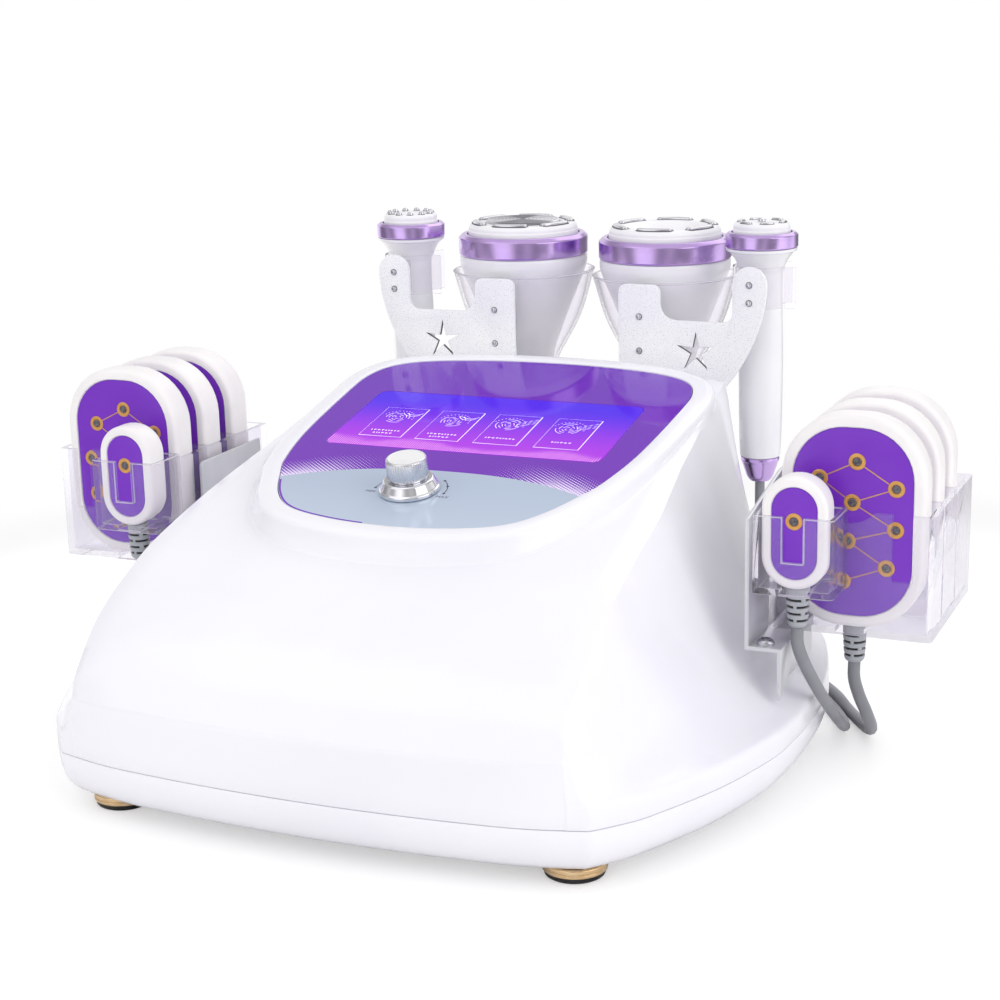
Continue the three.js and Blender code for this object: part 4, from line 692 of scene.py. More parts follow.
for name, word, lead, x, diameter, turns, ends in (
    ("smallPad", "small_pad", smallLead, -122, padDiameter, 3.25, ("right_small_light_pad", 80, 12)),
    ("bigPad", "big_pad", bigLead, -28, padDiameter, 3.25, ("right_light_pad_1", 56, 8)),
    ("handle", "handle", handleLead, 66, handleDiameter, 5.25, ("right_small_handle", 98, 14)),
):
    route = throughPoints(lead + coilRoute(x, diameter, turns, **coilFacts), 4)
    cord = makeCord(name, word, route, diameter, *ends)
    plug = makeConnector(name, word, route, coilFacts["plug"])
print("cords laid")

# Studio: a pale floor, a white surround and soft lamps; near and far bound the floor's bright middle, in metres
studioFacts = {
    "lamps": [("keyLamp", (-1.3, -1.9, 2.3), 3, 14.5), ("sideLamp", (2.3, -0.8, 1.2), 2, 16),
              ("rearLamp", (0.3, 1.7, 1.7), 1.6, 8)],
    "aim": (0, 0, 0.12), "surround": 0.86, "near": 0.3, "far": 0.6,
}


# Reflected rays meet bright and dark stands round the studio
def makeBands():
    group, given, out = newGroup("studioBands", {"Vector": "Vector"}, {"Share": "Float"})
    share = wavesRound(group, given["Vector"], ((3, 0.9, 0.36), (7, 2.1, 0.24)))
    feed(group, out, {"Share": ramped(group, share, -0.42, 0.42)})
    return group


def standsSeen(tree, vector, bands):
    return addNode(tree, "ShaderNodeGroup", {"Vector": vector}, node_tree=bands).outputs[0]


def seenBy(tree):
    path = addNode(tree, "ShaderNodeLightPath").outputs
    return sums(tree, "MAXIMUM", path["Is Camera Ray"], path["Is Transmission Ray"]), path["Is Glossy Ray"]


def makeSurround(strength, bands):
    world = bpy.data.worlds.new("surround")
    scene.world = world
    world.use_nodes = True
    tree = world.node_tree
    seen, glossy = seenBy(tree)
    view = coordinates(tree, "Generated")
    rise = parted(tree, view)[2]
    shown = ramped(tree, standsSeen(tree, view, bands), 0, 1, 0.35, 1.1, "LINEAR")
    for low, high, value in ((0.3, 0.5, 0.5), (0.62, 0.85, 0.85)):
        shown = blendValues(tree, ramped(tree, rise, low, high), shown, value)
    mirrored = blendValues(tree, glossy, strength, shown)
    feed(tree, tree.nodes["Background"], {"Color": white, "Strength": blendValues(tree, seen, mirrored, 1.0)})


def makeFloor(near, far, bands):
    bm = bmesh.new()
    bmesh.ops.create_grid(bm, x_segments=2, y_segments=2, size=6)
    mesh = bpy.data.meshes.new("floor")
    bm.to_mesh(mesh)
    bm.free()
    tree, shader = startMaterial("paleFloor", {"Roughness": 0.9, "Specular IOR Level": 0.0})
    place = coordinates(tree)
    seen, glossy = seenBy(tree)
    reach = addNode(tree, "ShaderNodeVectorMath", {0: place}, operation="LENGTH").outputs["Value"]
    away = ramped(tree, reach, near, far)
    stand = standsSeen(tree, place, bands)
    shine = sums(tree, "MULTIPLY", glossy, ramped(tree, reach, 0.45, 0.75))
    base = blendValues(tree, shine, 0.92, ramped(tree, stand, 0, 1, 0.26, 0.98))
    base = blendValues(tree, seen, base, ramped(tree, away, 0, 1, 0.62, 0))
    lift = sums(tree, "MULTIPLY", seen, ramped(tree, away, 0, 1, 0.46, 1, "LINEAR"))
    glow = sums(tree, "MULTIPLY_ADD", sums(tree, "MULTIPLY", shine, stand), 0.3, lift)
    tone = addNode(tree, "ShaderNodeCombineColor", {0: base, 1: base, 2: base}).outputs[0]
    feed(tree, shader, {"Base Color": tone, "Emission Color": white, "Emission Strength": glow})
    mesh.materials.append(bpy.data.materials["paleFloor"])
    addObject("floor", mesh)


def makeStudio(lamps, aim, surround, near, far):
    bands = makeBands()
    makeSurround(surround, bands)
    for name, place, size, power in lamps:
        data = bpy.data.lights.new(name, "AREA")
        data.shape, data.size, data.energy = "SQUARE", size, power
        heading = (Vector(place) - Vector(aim)).to_track_quat("Z", "Y").to_matrix().to_4x4()
        addObject(name, data).matrix_world = Matrix.Translation(place) @ heading
    makeFloor(near, far, bands)


makeStudio(**studioFacts)
print("studio ready")

# Console housing: the same stations as the solid has, as shares of its depth, width and height
housingFacts = {
    "front": -202.5,
    "rear": 123,
    "halfWidth": 188.5,
    "creaseHalf": 124.5,
    "parting": 32,
    "creaseTop": 169,
    "shoulder": 11,
    "bow": 9,
    "crown": 2,
    "round": 3,
    "stations": [
        (0.000, 0.668, 1.000, 0.219), (0.014, 0.708, 0.997, 0.285), (0.027, 0.732, 0.994, 0.338),
        (0.051, 0.767, 0.995, 0.402), (0.077, 0.801, 0.998, 0.456), (0.112, 0.833, 0.998, 0.511),
        (0.151, 0.866, 0.998, 0.558), (0.233, 0.926, 0.996, 0.640), (0.349, 0.981, 0.984, 0.718),
        (0.432, 0.997, 0.972, 0.766), (0.512, 1.000, 0.948, 0.814), (0.591, 0.995, 0.923, 0.860),
        (0.668, 0.976, 0.906, 0.904), (0.751, 0.939, 0.881, 0.945), (0.825, 0.891, 0.859, 0.978),
        (0.892, 0.817, 0.835, 1.000), (0.945, 0.721, 0.811, 1.000), (0.978, 0.637, 0.787, 0.971),
        (1.000, 0.562, 0.763, 0.920)],
}


def cubic(a, b, c, d, t):
    return 0.5 * (2 * b + (c - a) * t + (2 * a - 5 * b + 4 * c - d) * t * t + (3 * b - a - 3 * c + d) * t ** 3)


# A cubic through the rows at a place that counts rows
def alongRows(rows, place):
    place = min(max(place, 0), len(rows) - 1)
    i = min(int(place), len(rows) - 2)
    return cubic(*(Vector(rows[min(max(k, 0), len(rows) - 1)]) for k in range(i - 1, i + 3)), place - i)


def stationAt(place):
    facts = housingFacts
    depth, width, crease, rise = alongRows(facts["stations"], place)
    return {
        "y": facts["front"] + depth * (facts["rear"] - facts["front"]),
        "shoulderX": facts["halfWidth"] * width,
        "creaseX": facts["creaseHalf"] * crease,
        "creaseZ": facts["parting"] + (facts["creaseTop"] - facts["parting"]) * rise,
        "bow": facts["bow"] * (1 - smoothstep(depth, 0, 0.25)),
        "crown": facts["crown"] * smoothstep(depth, 0.03, 0.25),
    }


def bezier(points, t):
    while len(points) > 1:
        points = [a.lerp(b, t) for a, b in zip(points, points[1:])]
    return points[0]


def flankLine(station, shoulderZ):
    crease, shoulder = Vector((station["creaseX"], station["creaseZ"])), Vector((station["shoulderX"], shoulderZ))
    run, fall = shoulder.x - crease.x, crease.y - shoulder.y
    return [shoulder, Vector((crease.x + 0.46 * run, shoulder.y + 0.1 * fall)),
            Vector((crease.x + 0.3 * run, crease.y - 0.5 * fall)), crease]


# Across from the crease (0) to the foot of the flank (1), with the shoulder rounded
def flankPoint(station, shoulderZ, share):
    straight = 0.82  # share of the way that comes before the rounding
    line = flankLine(station, shoulderZ)
    radius = min(housingFacts["round"], 0.3 * (line[3] - line[0]).length)
    reach = min(radius / max(3 * (line[1] - line[0]).length, 0.01), 0.4)
    if share <= straight:
        return bezier(line, 1 - share / straight * (1 - reach))
    return bezier([bezier(line, reach), line[0], line[0] - Vector((0, radius))], (share - straight) / (1 - straight))


# How far the front corners are rounded back
def cornerPull(place, share):
    return 2.6 * (1 - smoothstep(place, 0, 1.4)) * (max(share - 0.76, 0) / 0.24) ** 2


def surfacePoint(across, place):
    crownHalf, creaseFall = 0.56, 1.6  # share of the grid's half width that the crown takes; how far its edge is eased
    parting = housingFacts["parting"]
    station = stationAt(place)
    if place < 0:
        low = parting + housingFacts["shoulder"] - 3.5
        station["creaseZ"] += (station["creaseZ"] - low) * place
    shoulderZ = min(parting + housingFacts["shoulder"], station["creaseZ"])
    fall = creaseFall * smoothstep(place, 0, 2)
    if abs(across) <= crownHalf:
        share = across / crownHalf
        swell = 1 - share * share
        back = cornerPull(place, abs(share)) - station["bow"] * swell
        return Vector((station["creaseX"] * share, station["y"] + back, station["creaseZ"] + station["crown"] * swell
                       - fall * smoothstep(abs(share), 0.93, 1)))
    flank = flankPoint(station, shoulderZ, (abs(across) - crownHalf) / (1 - crownHalf))
    easing = fall * (1 - smoothstep(abs(across), crownHalf, crownHalf + 0.05))
    return Vector((math.copysign(1, across) * flank.x, station["y"] + cornerPull(place, 1), flank.y - easing))


# A closed line moved outward
def offsetLoop(points, spread):
    moved = []
    for i, point in enumerate(points):
        run = (points[(i + 1) % len(points)] - points[i - 1]).normalized()
        moved.append((point.x + run.y * spread, point.y - run.x * spread))
    return moved


def panelOutline(spread, steps=180):
    facts = panelFacts
    length = facts["rear"] - facts["front"]
    half = [(facts["halfWidth"] * a, facts["front"] + length * b) for a, b in facts["shares"]]
    whole = half + [(-x, y) for x, y in reversed(half[1:-1])]
    line = []
    for i in range(steps):
        at = i / steps * len(whole)
        corners = (Vector(whole[(int(at) + j) % len(whole)]) for j in (-1, 0, 1, 2))
        line.append(cubic(*corners, at - int(at)))
    return offsetLoop(line, spread)


def insideOutline(outline, x, y):
    inside = False
    for (ax, ay), (bx, by) in zip(outline, outline[1:] + outline[:1]):
        if (ay > y) != (by > y) and x < ax + (y - ay) / (by - ay) * (bx - ax):
            inside = not inside
    return inside


# The shell is a grid laid over the stations, closed at the joint line and sunk under the panel
def housingShell():
    across, along, wellDepth, wellSpread = 104, 150, -5, 4
    parting, rows = housingFacts["parting"], len(housingFacts["stations"])
    bm = bmesh.new()
    bmesh.ops.create_grid(bm, x_segments=across, y_segments=along, size=1)
    for vert in bm.verts:
        vert.co = surfacePoint(vert.co.x, -1 + (vert.co.y + 1) / 2 * rows)
    border = [e for e in bm.edges if e.is_boundary]
    for height, inset in ((parting + 0.6, 1), (parting + 0.27, 0.9994), (parting + 0.15, 0.998)):
        for vert in vertsOf(bmesh.ops.extrude_edge_only(bm, edges=border)):
            vert.co = (vert.co.x * inset, vert.co.y * inset, height)
        border = [e for e in bm.edges if e.is_boundary]
    bmesh.ops.contextual_create(bm, geom=border)
    outline = panelOutline(wellSpread, 90)
    back = panelPlace.inverted()
    for vert in bm.verts:
        local = back @ vert.co
        if vert.co.z >= 90 and local.z > wellDepth and insideOutline(outline, local.x, local.y):
            local.z = wellDepth
            vert.co = panelPlace @ local
    bmesh.ops.remove_doubles(bm, verts=bm.verts, dist=0.02)
    bmesh.ops.recalc_face_normals(bm, faces=bm.faces)
    return bm


# Slanted slots in both flanks, and the seats of the rear panel and the inlet as (x, z, width, height, corner, depth)
ventFacts = {"count": 5, "length": 58, "width": 3, "pitch": 11, "y": 22, "z": 96, "lean": 32, "depth": 26,
             "reach": 158, "recesses": [(0, 88, 176.2, 88.2, 6, 2.3), (56, 104, 28.6, 48.6, 0.3, 12.6)]}


def ventCutters(count, length, width, pitch, y, z, lean, depth, reach, recesses):
    bm = bmesh.new()
    slot = roundedRectangle(length, width, width / 2, 4)
    turn = rotated("X", -lean) @ rotated("Z", 90) @ rotated("X", 90)
    for side, _ in sides:
        for i in range(count):
            place = Matrix.Translation((side * reach, y, z + (i - (count - 1) / 2) * pitch))
            addSlab(bm, slot, -depth / 2, depth / 2, place @ turn)
    rear = housingFacts["rear"]
    for x, z, width, height, corner, depth in recesses:
        addSlab(bm, roundedRectangle(width, height, corner, 6), -rear - 4, depth - rear,
                Matrix.Translation((x, 0, z)) @ standUp)
    return bm


def makeHousing():
    shell = housingShell()
    surface = BVHTree.FromBMesh(shell)
    piece = finishPiece(shell, "housingShell", "housingWhite", ("upper_housing",), sharp=38)
    cutters = finishPiece(ventCutters(**ventFacts), "ventCutters", "rearBlack")
    cut = piece.modifiers.new("vents", "BOOLEAN")
    cut.object, cut.solver, cut.use_self = cutters, "EXACT", True
    mesh = evaluated(piece)
    piece.modifiers.clear()
    piece.data = mesh
    mesh.set_sharp_from_angle(angle=math.radians(38))
    bpy.data.objects.remove(cutters)
    return surface


# The raised rim round the panel runs down into the shell
def makeRim(surface):
    rim = panelFacts["rim"]
    levels = [(0.3, -4.2), (0.3, -0.9), (0.5, -0.3), (1.1, 0), (4, 0.12), (7.4, 0), (9.4, -0.4), (10.8, -1.3),
              (11.6, -2.6), (rim, -4.2)]
    loops = [[panelPlace @ Vector((x, y, z)) for x, y in panelOutline(spread)] for spread, z in levels]
    edge = loops[-1]
    for spread, rise in ((rim + 0.35, 1.3), (rim + 0.9, 0.5), (rim + 1.8, 0.1), (rim + 3.2, -0.4)):
        loop = []
        for (x, y), before, ceiling in zip(panelOutline(spread), loops[-1], edge):
            top = panelPlace @ Vector((x, y, 12))
            hit = surface.ray_cast(top, Vector((0, 0, -1)))[0]
            loop.append(Vector((top.x, top.y, min((hit or before).z + rise, ceiling.z + 0.2))))
        loops.append(loop)
    bm = bmesh.new()
    lofted(bm, loops, False, False)
    return finishPiece(bm, "panelRim", "housingWhite")


makeRim(makeHousing())
print("housing ready")


def planOutline(inset):
    corners, frontSteps = 3, 24
    places = [i / corners for i in range((len(housingFacts["stations"]) - 1) * corners + 1)]
    right = [Vector((s["shoulderX"], s["y"] + cornerPull(place, 1)))
             for place, s in zip(places, map(stationAt, places))]
    first = stationAt(0)
    front = []
    for i in range(1, frontSteps):
        share = 1 - 2 * i / frontSteps
        back = cornerPull(0, abs(share)) - first["bow"] * (1 - share * share)
        front.append(Vector((-first["creaseX"] * share, first["y"] + back)))
    return offsetLoop(front + right + [Vector((-p.x, p.y)) for p in reversed(right)], -inset)


trayFacts = {"foot": 7.5, "bend": 20, "top": 31.85}


def makeTray(foot, bend, top):
    bm = bmesh.new()
    turns = [i / 8 * math.pi / 2 for i in range(9)]
    levels = [(bend + 6, foot)] + [(bend * (1 - math.sin(turn)), foot + bend * (1 - math.cos(turn))) for turn in turns]
    levels += [(0, top - 0.5), (0.12, top - 0.12), (0.5, top)]
    lofted(bm, [[(x, y, z) for x, y in planOutline(inset)] for inset, z in levels])
    finishPiece(bm, "baseTray", "housingWhite", ("base_tray",), sharp=40)


makeTray(**trayFacts)

footFacts = {"radius": 14.8, "pad": 2.6, "height": 7.2, "x": 118, "front": -172, "rear": 72}


def makeFeet(radius, pad, height, x, front, rear):
    cup = [(0, pad), (radius * 0.94, pad), (radius, pad + 0.5, 0.4), (radius, pad + 1.7, 0.2),
           (radius * 0.985, pad + 1.9), (radius * 0.985, pad + 2.2), (radius, pad + 2.4, 0.2),
           (radius, height - 0.5, 0.4), (radius * 0.95, height), (0, height)]
    rubber = [(0, 0), (radius * 0.86, 0, 0.4), (radius * 0.93, 0.7, 0.4), (radius * 0.93, pad - 0.05), (0, pad - 0.05)]
    for end, y in (("front", front), ("rear", rear)):
        for side, word in reversed(sides):
            name, place = "foot" + end.title() + word.title(), (side * x, y, 0)
            turnedPiece(name, cup, place, "footBrass", (f"foot_{end}_{word}",))
            turnedPiece(name + "Rubber", rubber, place, "rockerBlack")


makeFeet(**footFacts)
print("base ready")


# Panel with its screen, the screen's pictures and the dial round the knob

def makePanel():
    facts = panelFacts
    low, high = -facts["sink"] - facts["thickness"], -facts["sink"]
    width, height, corner = facts["screen"]
    bm = bmesh.new()
    hole = [(x, y + height / 2) for x, y in roundedRectangle(width + 0.5, height + 0.5, corner + 0.25)]
    sheet(bm, (panelOutline(0), hole), high, low, 0.35, False)
    finishPiece(bm, "panelSheet", "panelAcrylic", ("control_panel",), place=panelPlace, sharp=20)
    bm = bmesh.new()
    slab(bm, [(x, y + height / 2) for x, y in roundedRectangle(width, height, corner)], low + 0.3, high, 0.12, 1)
    finishPiece(bm, "touchScreen", "screenGlass", ("touch_screen",), place=panelPlace, sharp=20)


makePanel()


# A flat line of ink along points in the panel's plane
def inkLine(bm, points, width, height=0.12):
    points = [Vector(p) for p in points]
    left, right = [], []
    for i, point in enumerate(points):
        run = (points[min(i + 1, len(points) - 1)] - points[max(i - 1, 0)]).normalized()
        out = Vector((run.y, -run.x)) * width / 2
        left.append(bm.verts.new((*(point + out), height)))
        right.append(bm.verts.new((*(point - out), height)))
    for row in zip(left, left[1:], right[1:], right):
        bm.faces.new(row)


def circlePoints(x, y, radius, start=0, end=360, steps=24):
    points = [polar(radius, math.radians(start + (end - start) * i / steps)) for i in range(steps + 1)]
    return [(x + across, y + up) for across, up in points]


# Ink is finished in the panel's plane, at its lift
def finishInk(bm, name, look, lift=-0.68):
    bmesh.ops.translate(bm, verts=bm.verts, vec=(0, 0, lift))
    finishPiece(bm, name, look, place=panelPlace, sharp=30)


iconFacts = {"cards": (-50.6, -17.8, 15.2, 49), "y": 31.2, "width": 24.4, "height": 37.6, "line": 0.42,
             "words": (1.3, 0.8, 1.6, 0.6, 1.1, 1.4, 0.7, 1.2, 0.9, 1.5)}


# Strokes that stand for a line of small words
def inkWords(bm, x, y, length, words):
    left, number = x - length / 2, 0
    while left < x + length / 2 - 0.6:
        word = words[(number * 3 + int(length)) % len(words)]
        rise = y + 0.4 * (number % 2)
        inkLine(bm, [(left, rise), (left + word, rise)], 0.5)
        inkLine(bm, [(left + word * 0.4, y - 0.8), (left + word * 0.4, y + 0.8)], 0.35)
        left, number = left + word + 0.75, number + 1


def makeIcons(cards, y, width, height, line, words):
    bm = bmesh.new()
    for number, x in enumerate(cards):
        left, right, low, high = x - width / 2, x + width / 2, y - height / 2, y + height / 2
        inkLine(bm, [(right, high), (right, low), (left, low)], line * 1.15)
        inkLine(bm, [(left, low), (left, high), (right, high)], line * 0.35)
        middle, across = y + 6.4, x - (1.2 if number < 2 else 2.6)
        for ring, radius in enumerate((1.6, 3.2, 4.9, 6.7)):
            parts = 3 + ring % 3
            for gap in range(parts):
                start = gap * 360 / parts + 37 * ring + 24 * number
                inkLine(bm, circlePoints(across, middle, radius, start, start + 360 / parts * 0.6, 9), line * 0.75)
        for spot in range(14):
            angle = math.radians(-10 + spot * 13)
            dot = (across + 9 * math.cos(angle), middle + 8.4 * math.sin(angle))
            inkLine(bm, [dot, (dot[0] + 0.5, dot[1] + 0.25)], line)
        if number < 2:
            inkLine(bm, circlePoints(x + 5.6, middle + 8.4, 6, 200, 318, 12), line * 0.8)
            inkLine(bm, circlePoints(x + 6.6, middle + 9.4, 5.2, 215, 330, 12), line * 0.8)
        else:
            for step in range(3):
                for dash in range(4):
                    run, rise = across + 4.5 + 2.6 * dash, middle + 2.4 * step - 2 + 0.62 * 2.6 * dash
                    inkLine(bm, [(run, rise), (run + 1.6, rise + 1)], line * 0.85)
        inkWords(bm, x, low + 7.6, 16.5 if number < 3 else 10.5, words)
        if number < 2:
            inkWords(bm, x - 0.5, low + 4.1, 10.5, words)
    finishInk(bm, "screenIcons", "iconInk")


dialFacts = {"x": -4.5, "y": -48, "radius": 18.7, "line": 0.42, "letters": 3.1}


def makeDial(x, y, radius, line, letters):
    bm = bmesh.new()
    for start, end in ((-2, 47), (133, 182)):
        inkLine(bm, circlePoints(x, y, radius, start, end, 24), line)
        for angle in (start, start + 25, end - 1):
            spot = circlePoints(x, y, radius, angle, angle + 1, 1)[0]
            inkLine(bm, circlePoints(*spot, 0.4, steps=10), 0.8)
    finishInk(bm, "knobDial", "dialInk")
    for name, word, side in (("dialLow", "MIN", -1), ("dialHigh", "MAX", 1)):
        data = bpy.data.curves.new(name, "FONT")
        data.body, data.size, data.align_x = word, letters, "CENTER"
        text = addObject(name + "Text", data)
        bm = bmesh.new()
        bm.from_mesh(evaluated(text))
        bpy.data.objects.remove(text)
        bmesh.ops.translate(bm, verts=bm.verts, vec=(x + side * 19.5, y - 5.6, 0))
        finishInk(bm, name + "Mark", "dialInk", lift=-0.56)


# The sheet's purple edge shows beside the grey zone at the left
def makeBorder():
    bm = bmesh.new()
    inkLine(bm, [p for p in panelOutline(-0.75) if p[0] < -8 and p[1] < -46], 1.0, 0.08)
    finishInk(bm, "panelBorder", "padPurple", -0.6)


makeIcons(**iconFacts)
makeDial(**dialFacts)
makeBorder()
print("panel ready")

knobFacts = {"x": -4.5, "y": -48, "low": -0.3, "skirt": 15.3, "edge": 1.8, "height": 6.5, "shoulder": 12,
             "neck": 9.2, "neckHeight": 1.4, "cap": 10.3, "knurls": 46, "knurlDepth": 0.36, "capHeight": 9.6}


def makeKnob(x, y, low, skirt, edge, height, shoulder, neck, neckHeight, cap, knurls, knurlDepth, capHeight):
    step, seat = low + height, low + height + neckHeight
    place = panelPlace @ Matrix.Translation((x, y, 0))
    bm = bmesh.new()
    spun(bm, [(0, low), (skirt - 0.3, low), (skirt, low + 0.3), (skirt, low + edge, 0.4),
              (skirt - 0.9, low + edge + 0.7, 0.3), (shoulder + 0.7, step - 0.6, 1.2), (shoulder, step, 0.3),
              (neck + 0.5, step), (neck, step - 0.3), (neck, seat), (0, seat)], 96)
    finishPiece(bm, "knobSkirt", "polishedSilver", ("suction_knob",), "knob", place, 30)
    base, top, count = seat - 0.3, seat + capHeight, knurls * 4
    levels = [(0.9, base, 0), (0.965, base, 0), (1, base + 0.5, 1), (1, top - 1.5, 1), (0.985, top - 0.9, 0.5),
              (0.955, top - 0.35, 0), (0.915, top - 0.05, 0), (0.88, top, 0)]
    loops = []
    for share, z, teeth in levels:
        radii = [cap * share - teeth * knurlDepth * (0, 0.5, 1, 0.5)[i % 4] for i in range(count)]
        loops.append([(*polar(radius, i / count * math.tau), z) for i, radius in enumerate(radii)])
    bm = bmesh.new()
    lofted(bm, loops, True, False)
    finishPiece(bm, "knobCap", "satinSilver", (), "knob", place)
    # Its top disc takes the lit, near-white copy of the silver: painted highlight
    bm = bmesh.new()
    spun(bm, [(0, top - 0.6), (cap * 0.885, top - 0.6), (cap * 0.885, top - 0.02, 0.1), (cap * 0.84, top - 0.02),
              (cap * 0.82, top - 0.22, 0.1), (0, top - 0.16)], 72)
    finishPiece(bm, "knobTop", "knobLitTop", (), "knob", place, 30)


makeKnob(**knobFacts)
print("knob ready")

# Rear rack: one powder-coated sheet with stars cut through it; the star is (x, z, radius, inner share)
rackFacts = {
    "front": 123.3, "rear": 126.3, "inner": 32, "tab": 56.5, "top": 217, "waist": 197.5, "waistIn": 64, "waistOut": 92,
    "armIn": 98.8, "armOut": 118.2, "armTop": 229, "lowX": 62, "lowZ": 147, "lowRun": 18, "foot": 136, "gap": 158,
    "bend": 6,
}
rackStar = (77.8, 180.2, 11.6, 0.28)
rackScrews = {"places": [(108.4, 218.9), (108.4, 209.0), (44.4, 199.0), (44.4, 179.5)], "radius": 1.6, "rearLift": 5.2}


def curved(*points, steps=14):
    return [bezier([Vector(p) for p in points], i / steps) for i in range(steps + 1)]


def rackOutline(inner, tab, top, waist, waistIn, waistOut, armIn, armOut, armTop, lowX, lowZ, lowRun, foot, gap, bend):
    middle, radius = (armIn + armOut) / 2, (armOut - armIn) / 2
    shoulder = armTop - radius
    arc = [polar(radius, math.pi * (1 - i / 16)) for i in range(16)]
    return (
        [Vector((0, gap))]
        + curved((inner - 3, gap), (inner, gap), (inner, gap + 3), steps=4)
        + curved((inner, top - 5), (inner, top), (inner + 5, top), steps=7)
        + curved((tab - 5, top), (tab, top), (tab, top - 5), steps=7)
        + curved((tab, waist + 1.6 * bend), (tab + 0.4, waist + 0.3), (waistIn + 3, waist))
        + curved((waistOut, waist), (armIn, waist), (armIn, waist + bend))
        + [Vector((middle + across, shoulder + up)) for across, up in arc]
        + curved((armOut, shoulder), (armOut, waist), (armIn + bend, lowZ + lowRun), (lowX + lowRun, lowZ), steps=26)
        + [Vector((lowX, foot)), Vector((0, foot))])


def starPoints(side, inset):
    x, z, radius, inner = rackStar
    points = []
    for i in range(10):
        across, up = polar((radius - 3 * inset) * (inner if i % 2 else 1), math.pi / 2 + i * math.pi / 5)
        points.append((side * x + across, z + up))
    return points


# A domed screw head with a hollow, turned the way it looks
def addScrew(bm, place, radius, turn):
    part = bmesh.new()
    spun(part, [(0, 0), (radius, 0), (radius, 0.35 * radius, 0.1 * radius),
                (radius * 0.82, 0.62 * radius, 0.4 * radius), (radius * 0.5, 0.72 * radius)], 24)
    made = bmesh.ops.extrude_edge_only(part, edges=[e for e in part.edges if e.is_boundary])
    bmesh.ops.translate(part, verts=vertsOf(made), vec=(0, 0, -0.4 * radius))
    bmesh.ops.contextual_create(part, geom=[e for e in part.edges if e.is_boundary])
    joinPart(bm, part, Matrix.Translation(place) @ turn)


def makeRack(front, rear, **shape):
    half = rackOutline(**shape)
    outlines = [[(p.x, p.y) for p in half] + [(-p.x, p.y) for p in reversed(half[1:-1])]]
    bm = bmesh.new()
    sheet(bm, outlines + [starPoints(side, 0) for side, _ in sides], -rear, -front, 0.4, True)
    finishPiece(bm, "handleRack", "rackPowderWhite", ("handle_rack",), place=standUp, sharp=30)
    # Dark rings under the front screws and a dark lining on the stars' walls are painted shade
    bm, screwShade, wallShade = bmesh.new(), bmesh.new(), bmesh.new()
    radius = rackScrews["radius"]
    ring = [(0, 0), (radius * 1.2, 0), (radius * 1.2, 0.08), (0, 0.08)]
    for side, _ in sides:
        for x, z in rackScrews["places"]:
            addScrew(bm, (side * x, front, z), radius, standUp)
            addSpun(screwShade, ring, 24, Matrix.Translation((side * x, front, z)) @ standUp)
            addScrew(bm, (side * x, rear + rackScrews["rearLift"], z), radius * 0.9, rotated("X", -90))
        wall = [ringOf(wallShade, [(x, y, z) for x, z in starPoints(side, 0.06)])[1] for y in (front + 0.35, rear - 0.35)]
        bmesh.ops.bridge_loops(wallShade, edges=wall[0] + wall[1])
    finishPiece(bm, "rackScrews", "screwSteel")
    finishPiece(wallShade, "rackStarWallShade", "paintedShadeGrey", sharp=30)
    finishPiece(screwShade, "rackScrewShade", "paintedShadeGrey")


makeRack(**rackFacts)
print("rack ready")

# Clear cups and clips; a cup's tab is (width, low, high, depth), a clip's is (width, depth)
tabPlane = 126.6  # where the tabs meet the rack's rear
bigPlace, smallPlace = (44.4, 169.2), (108.2, 148.3)
cupFacts = {"rim": 42.3, "rimZ": 217, "neck": 19.5, "neckZ": 163, "foot": 150, "wall": 2, "tab": (18, 174, 205, 8.6)}
clipFacts = {"radius": 16, "wall": 2, "low": 204, "high": 227, "mouth": 66, "turn": 20, "lip": 6,
             "tab": (13, 6.4)}


def makeTab(name, x, width, low, high, depth, corner, margin=0):
    bm = bmesh.new()
    slab(bm, roundedRectangle(width, high - low - margin, corner, 4), 0, depth, 0.4, 2)
    place = Matrix.Translation((x, tabPlane + depth, (low + high) / 2)) @ standUp
    finishPiece(bm, name + "Tab", "smokedAcrylic", place=place, sharp=40)


def makeCup(side, word, rim, rimZ, neck, neckZ, foot, wall, tab):
    across, up = neck + (rim - neck) * 0.68, neckZ + (rimZ - neckZ) * 0.5
    bm = bmesh.new()
    spun(bm, [(neck - wall, foot), (neck - 0.3, foot), (neck, foot + 0.4), (neck, neckZ, 9), (across, up, 12),
              (rim - 0.3, rimZ - 0.9, 0.3), (rim, rimZ - 0.2), (rim - 0.4, rimZ), (rim - wall, rimZ),
              (rim - wall - 0.4, rimZ - 0.9), (across - wall, up, 12), (neck - wall, neckZ, 9), (neck - wall, foot)],
         160, 8)
    x, y = side * bigPlace[0], bigPlace[1]
    finishPiece(bm, word + "Cup", "smokedAcrylic", (word + "_cup",), place=Matrix.Translation((x, y, 0)), sharp=40)
    # A thin lip on the cup's rim in the painted-highlight look
    top = rimZ + 0.03
    lip = [(rim - wall - 0.3, top), (rim - 0.4, top), (rim + 0.02, top - 0.3), (rim - 0.25, top - 1)]
    turnedPiece(word + "CupRim", lip, (x, y, 0), "acrylicRimHighlight", steps=128)
    makeTab(word + "Cup", x, *tab, 2)


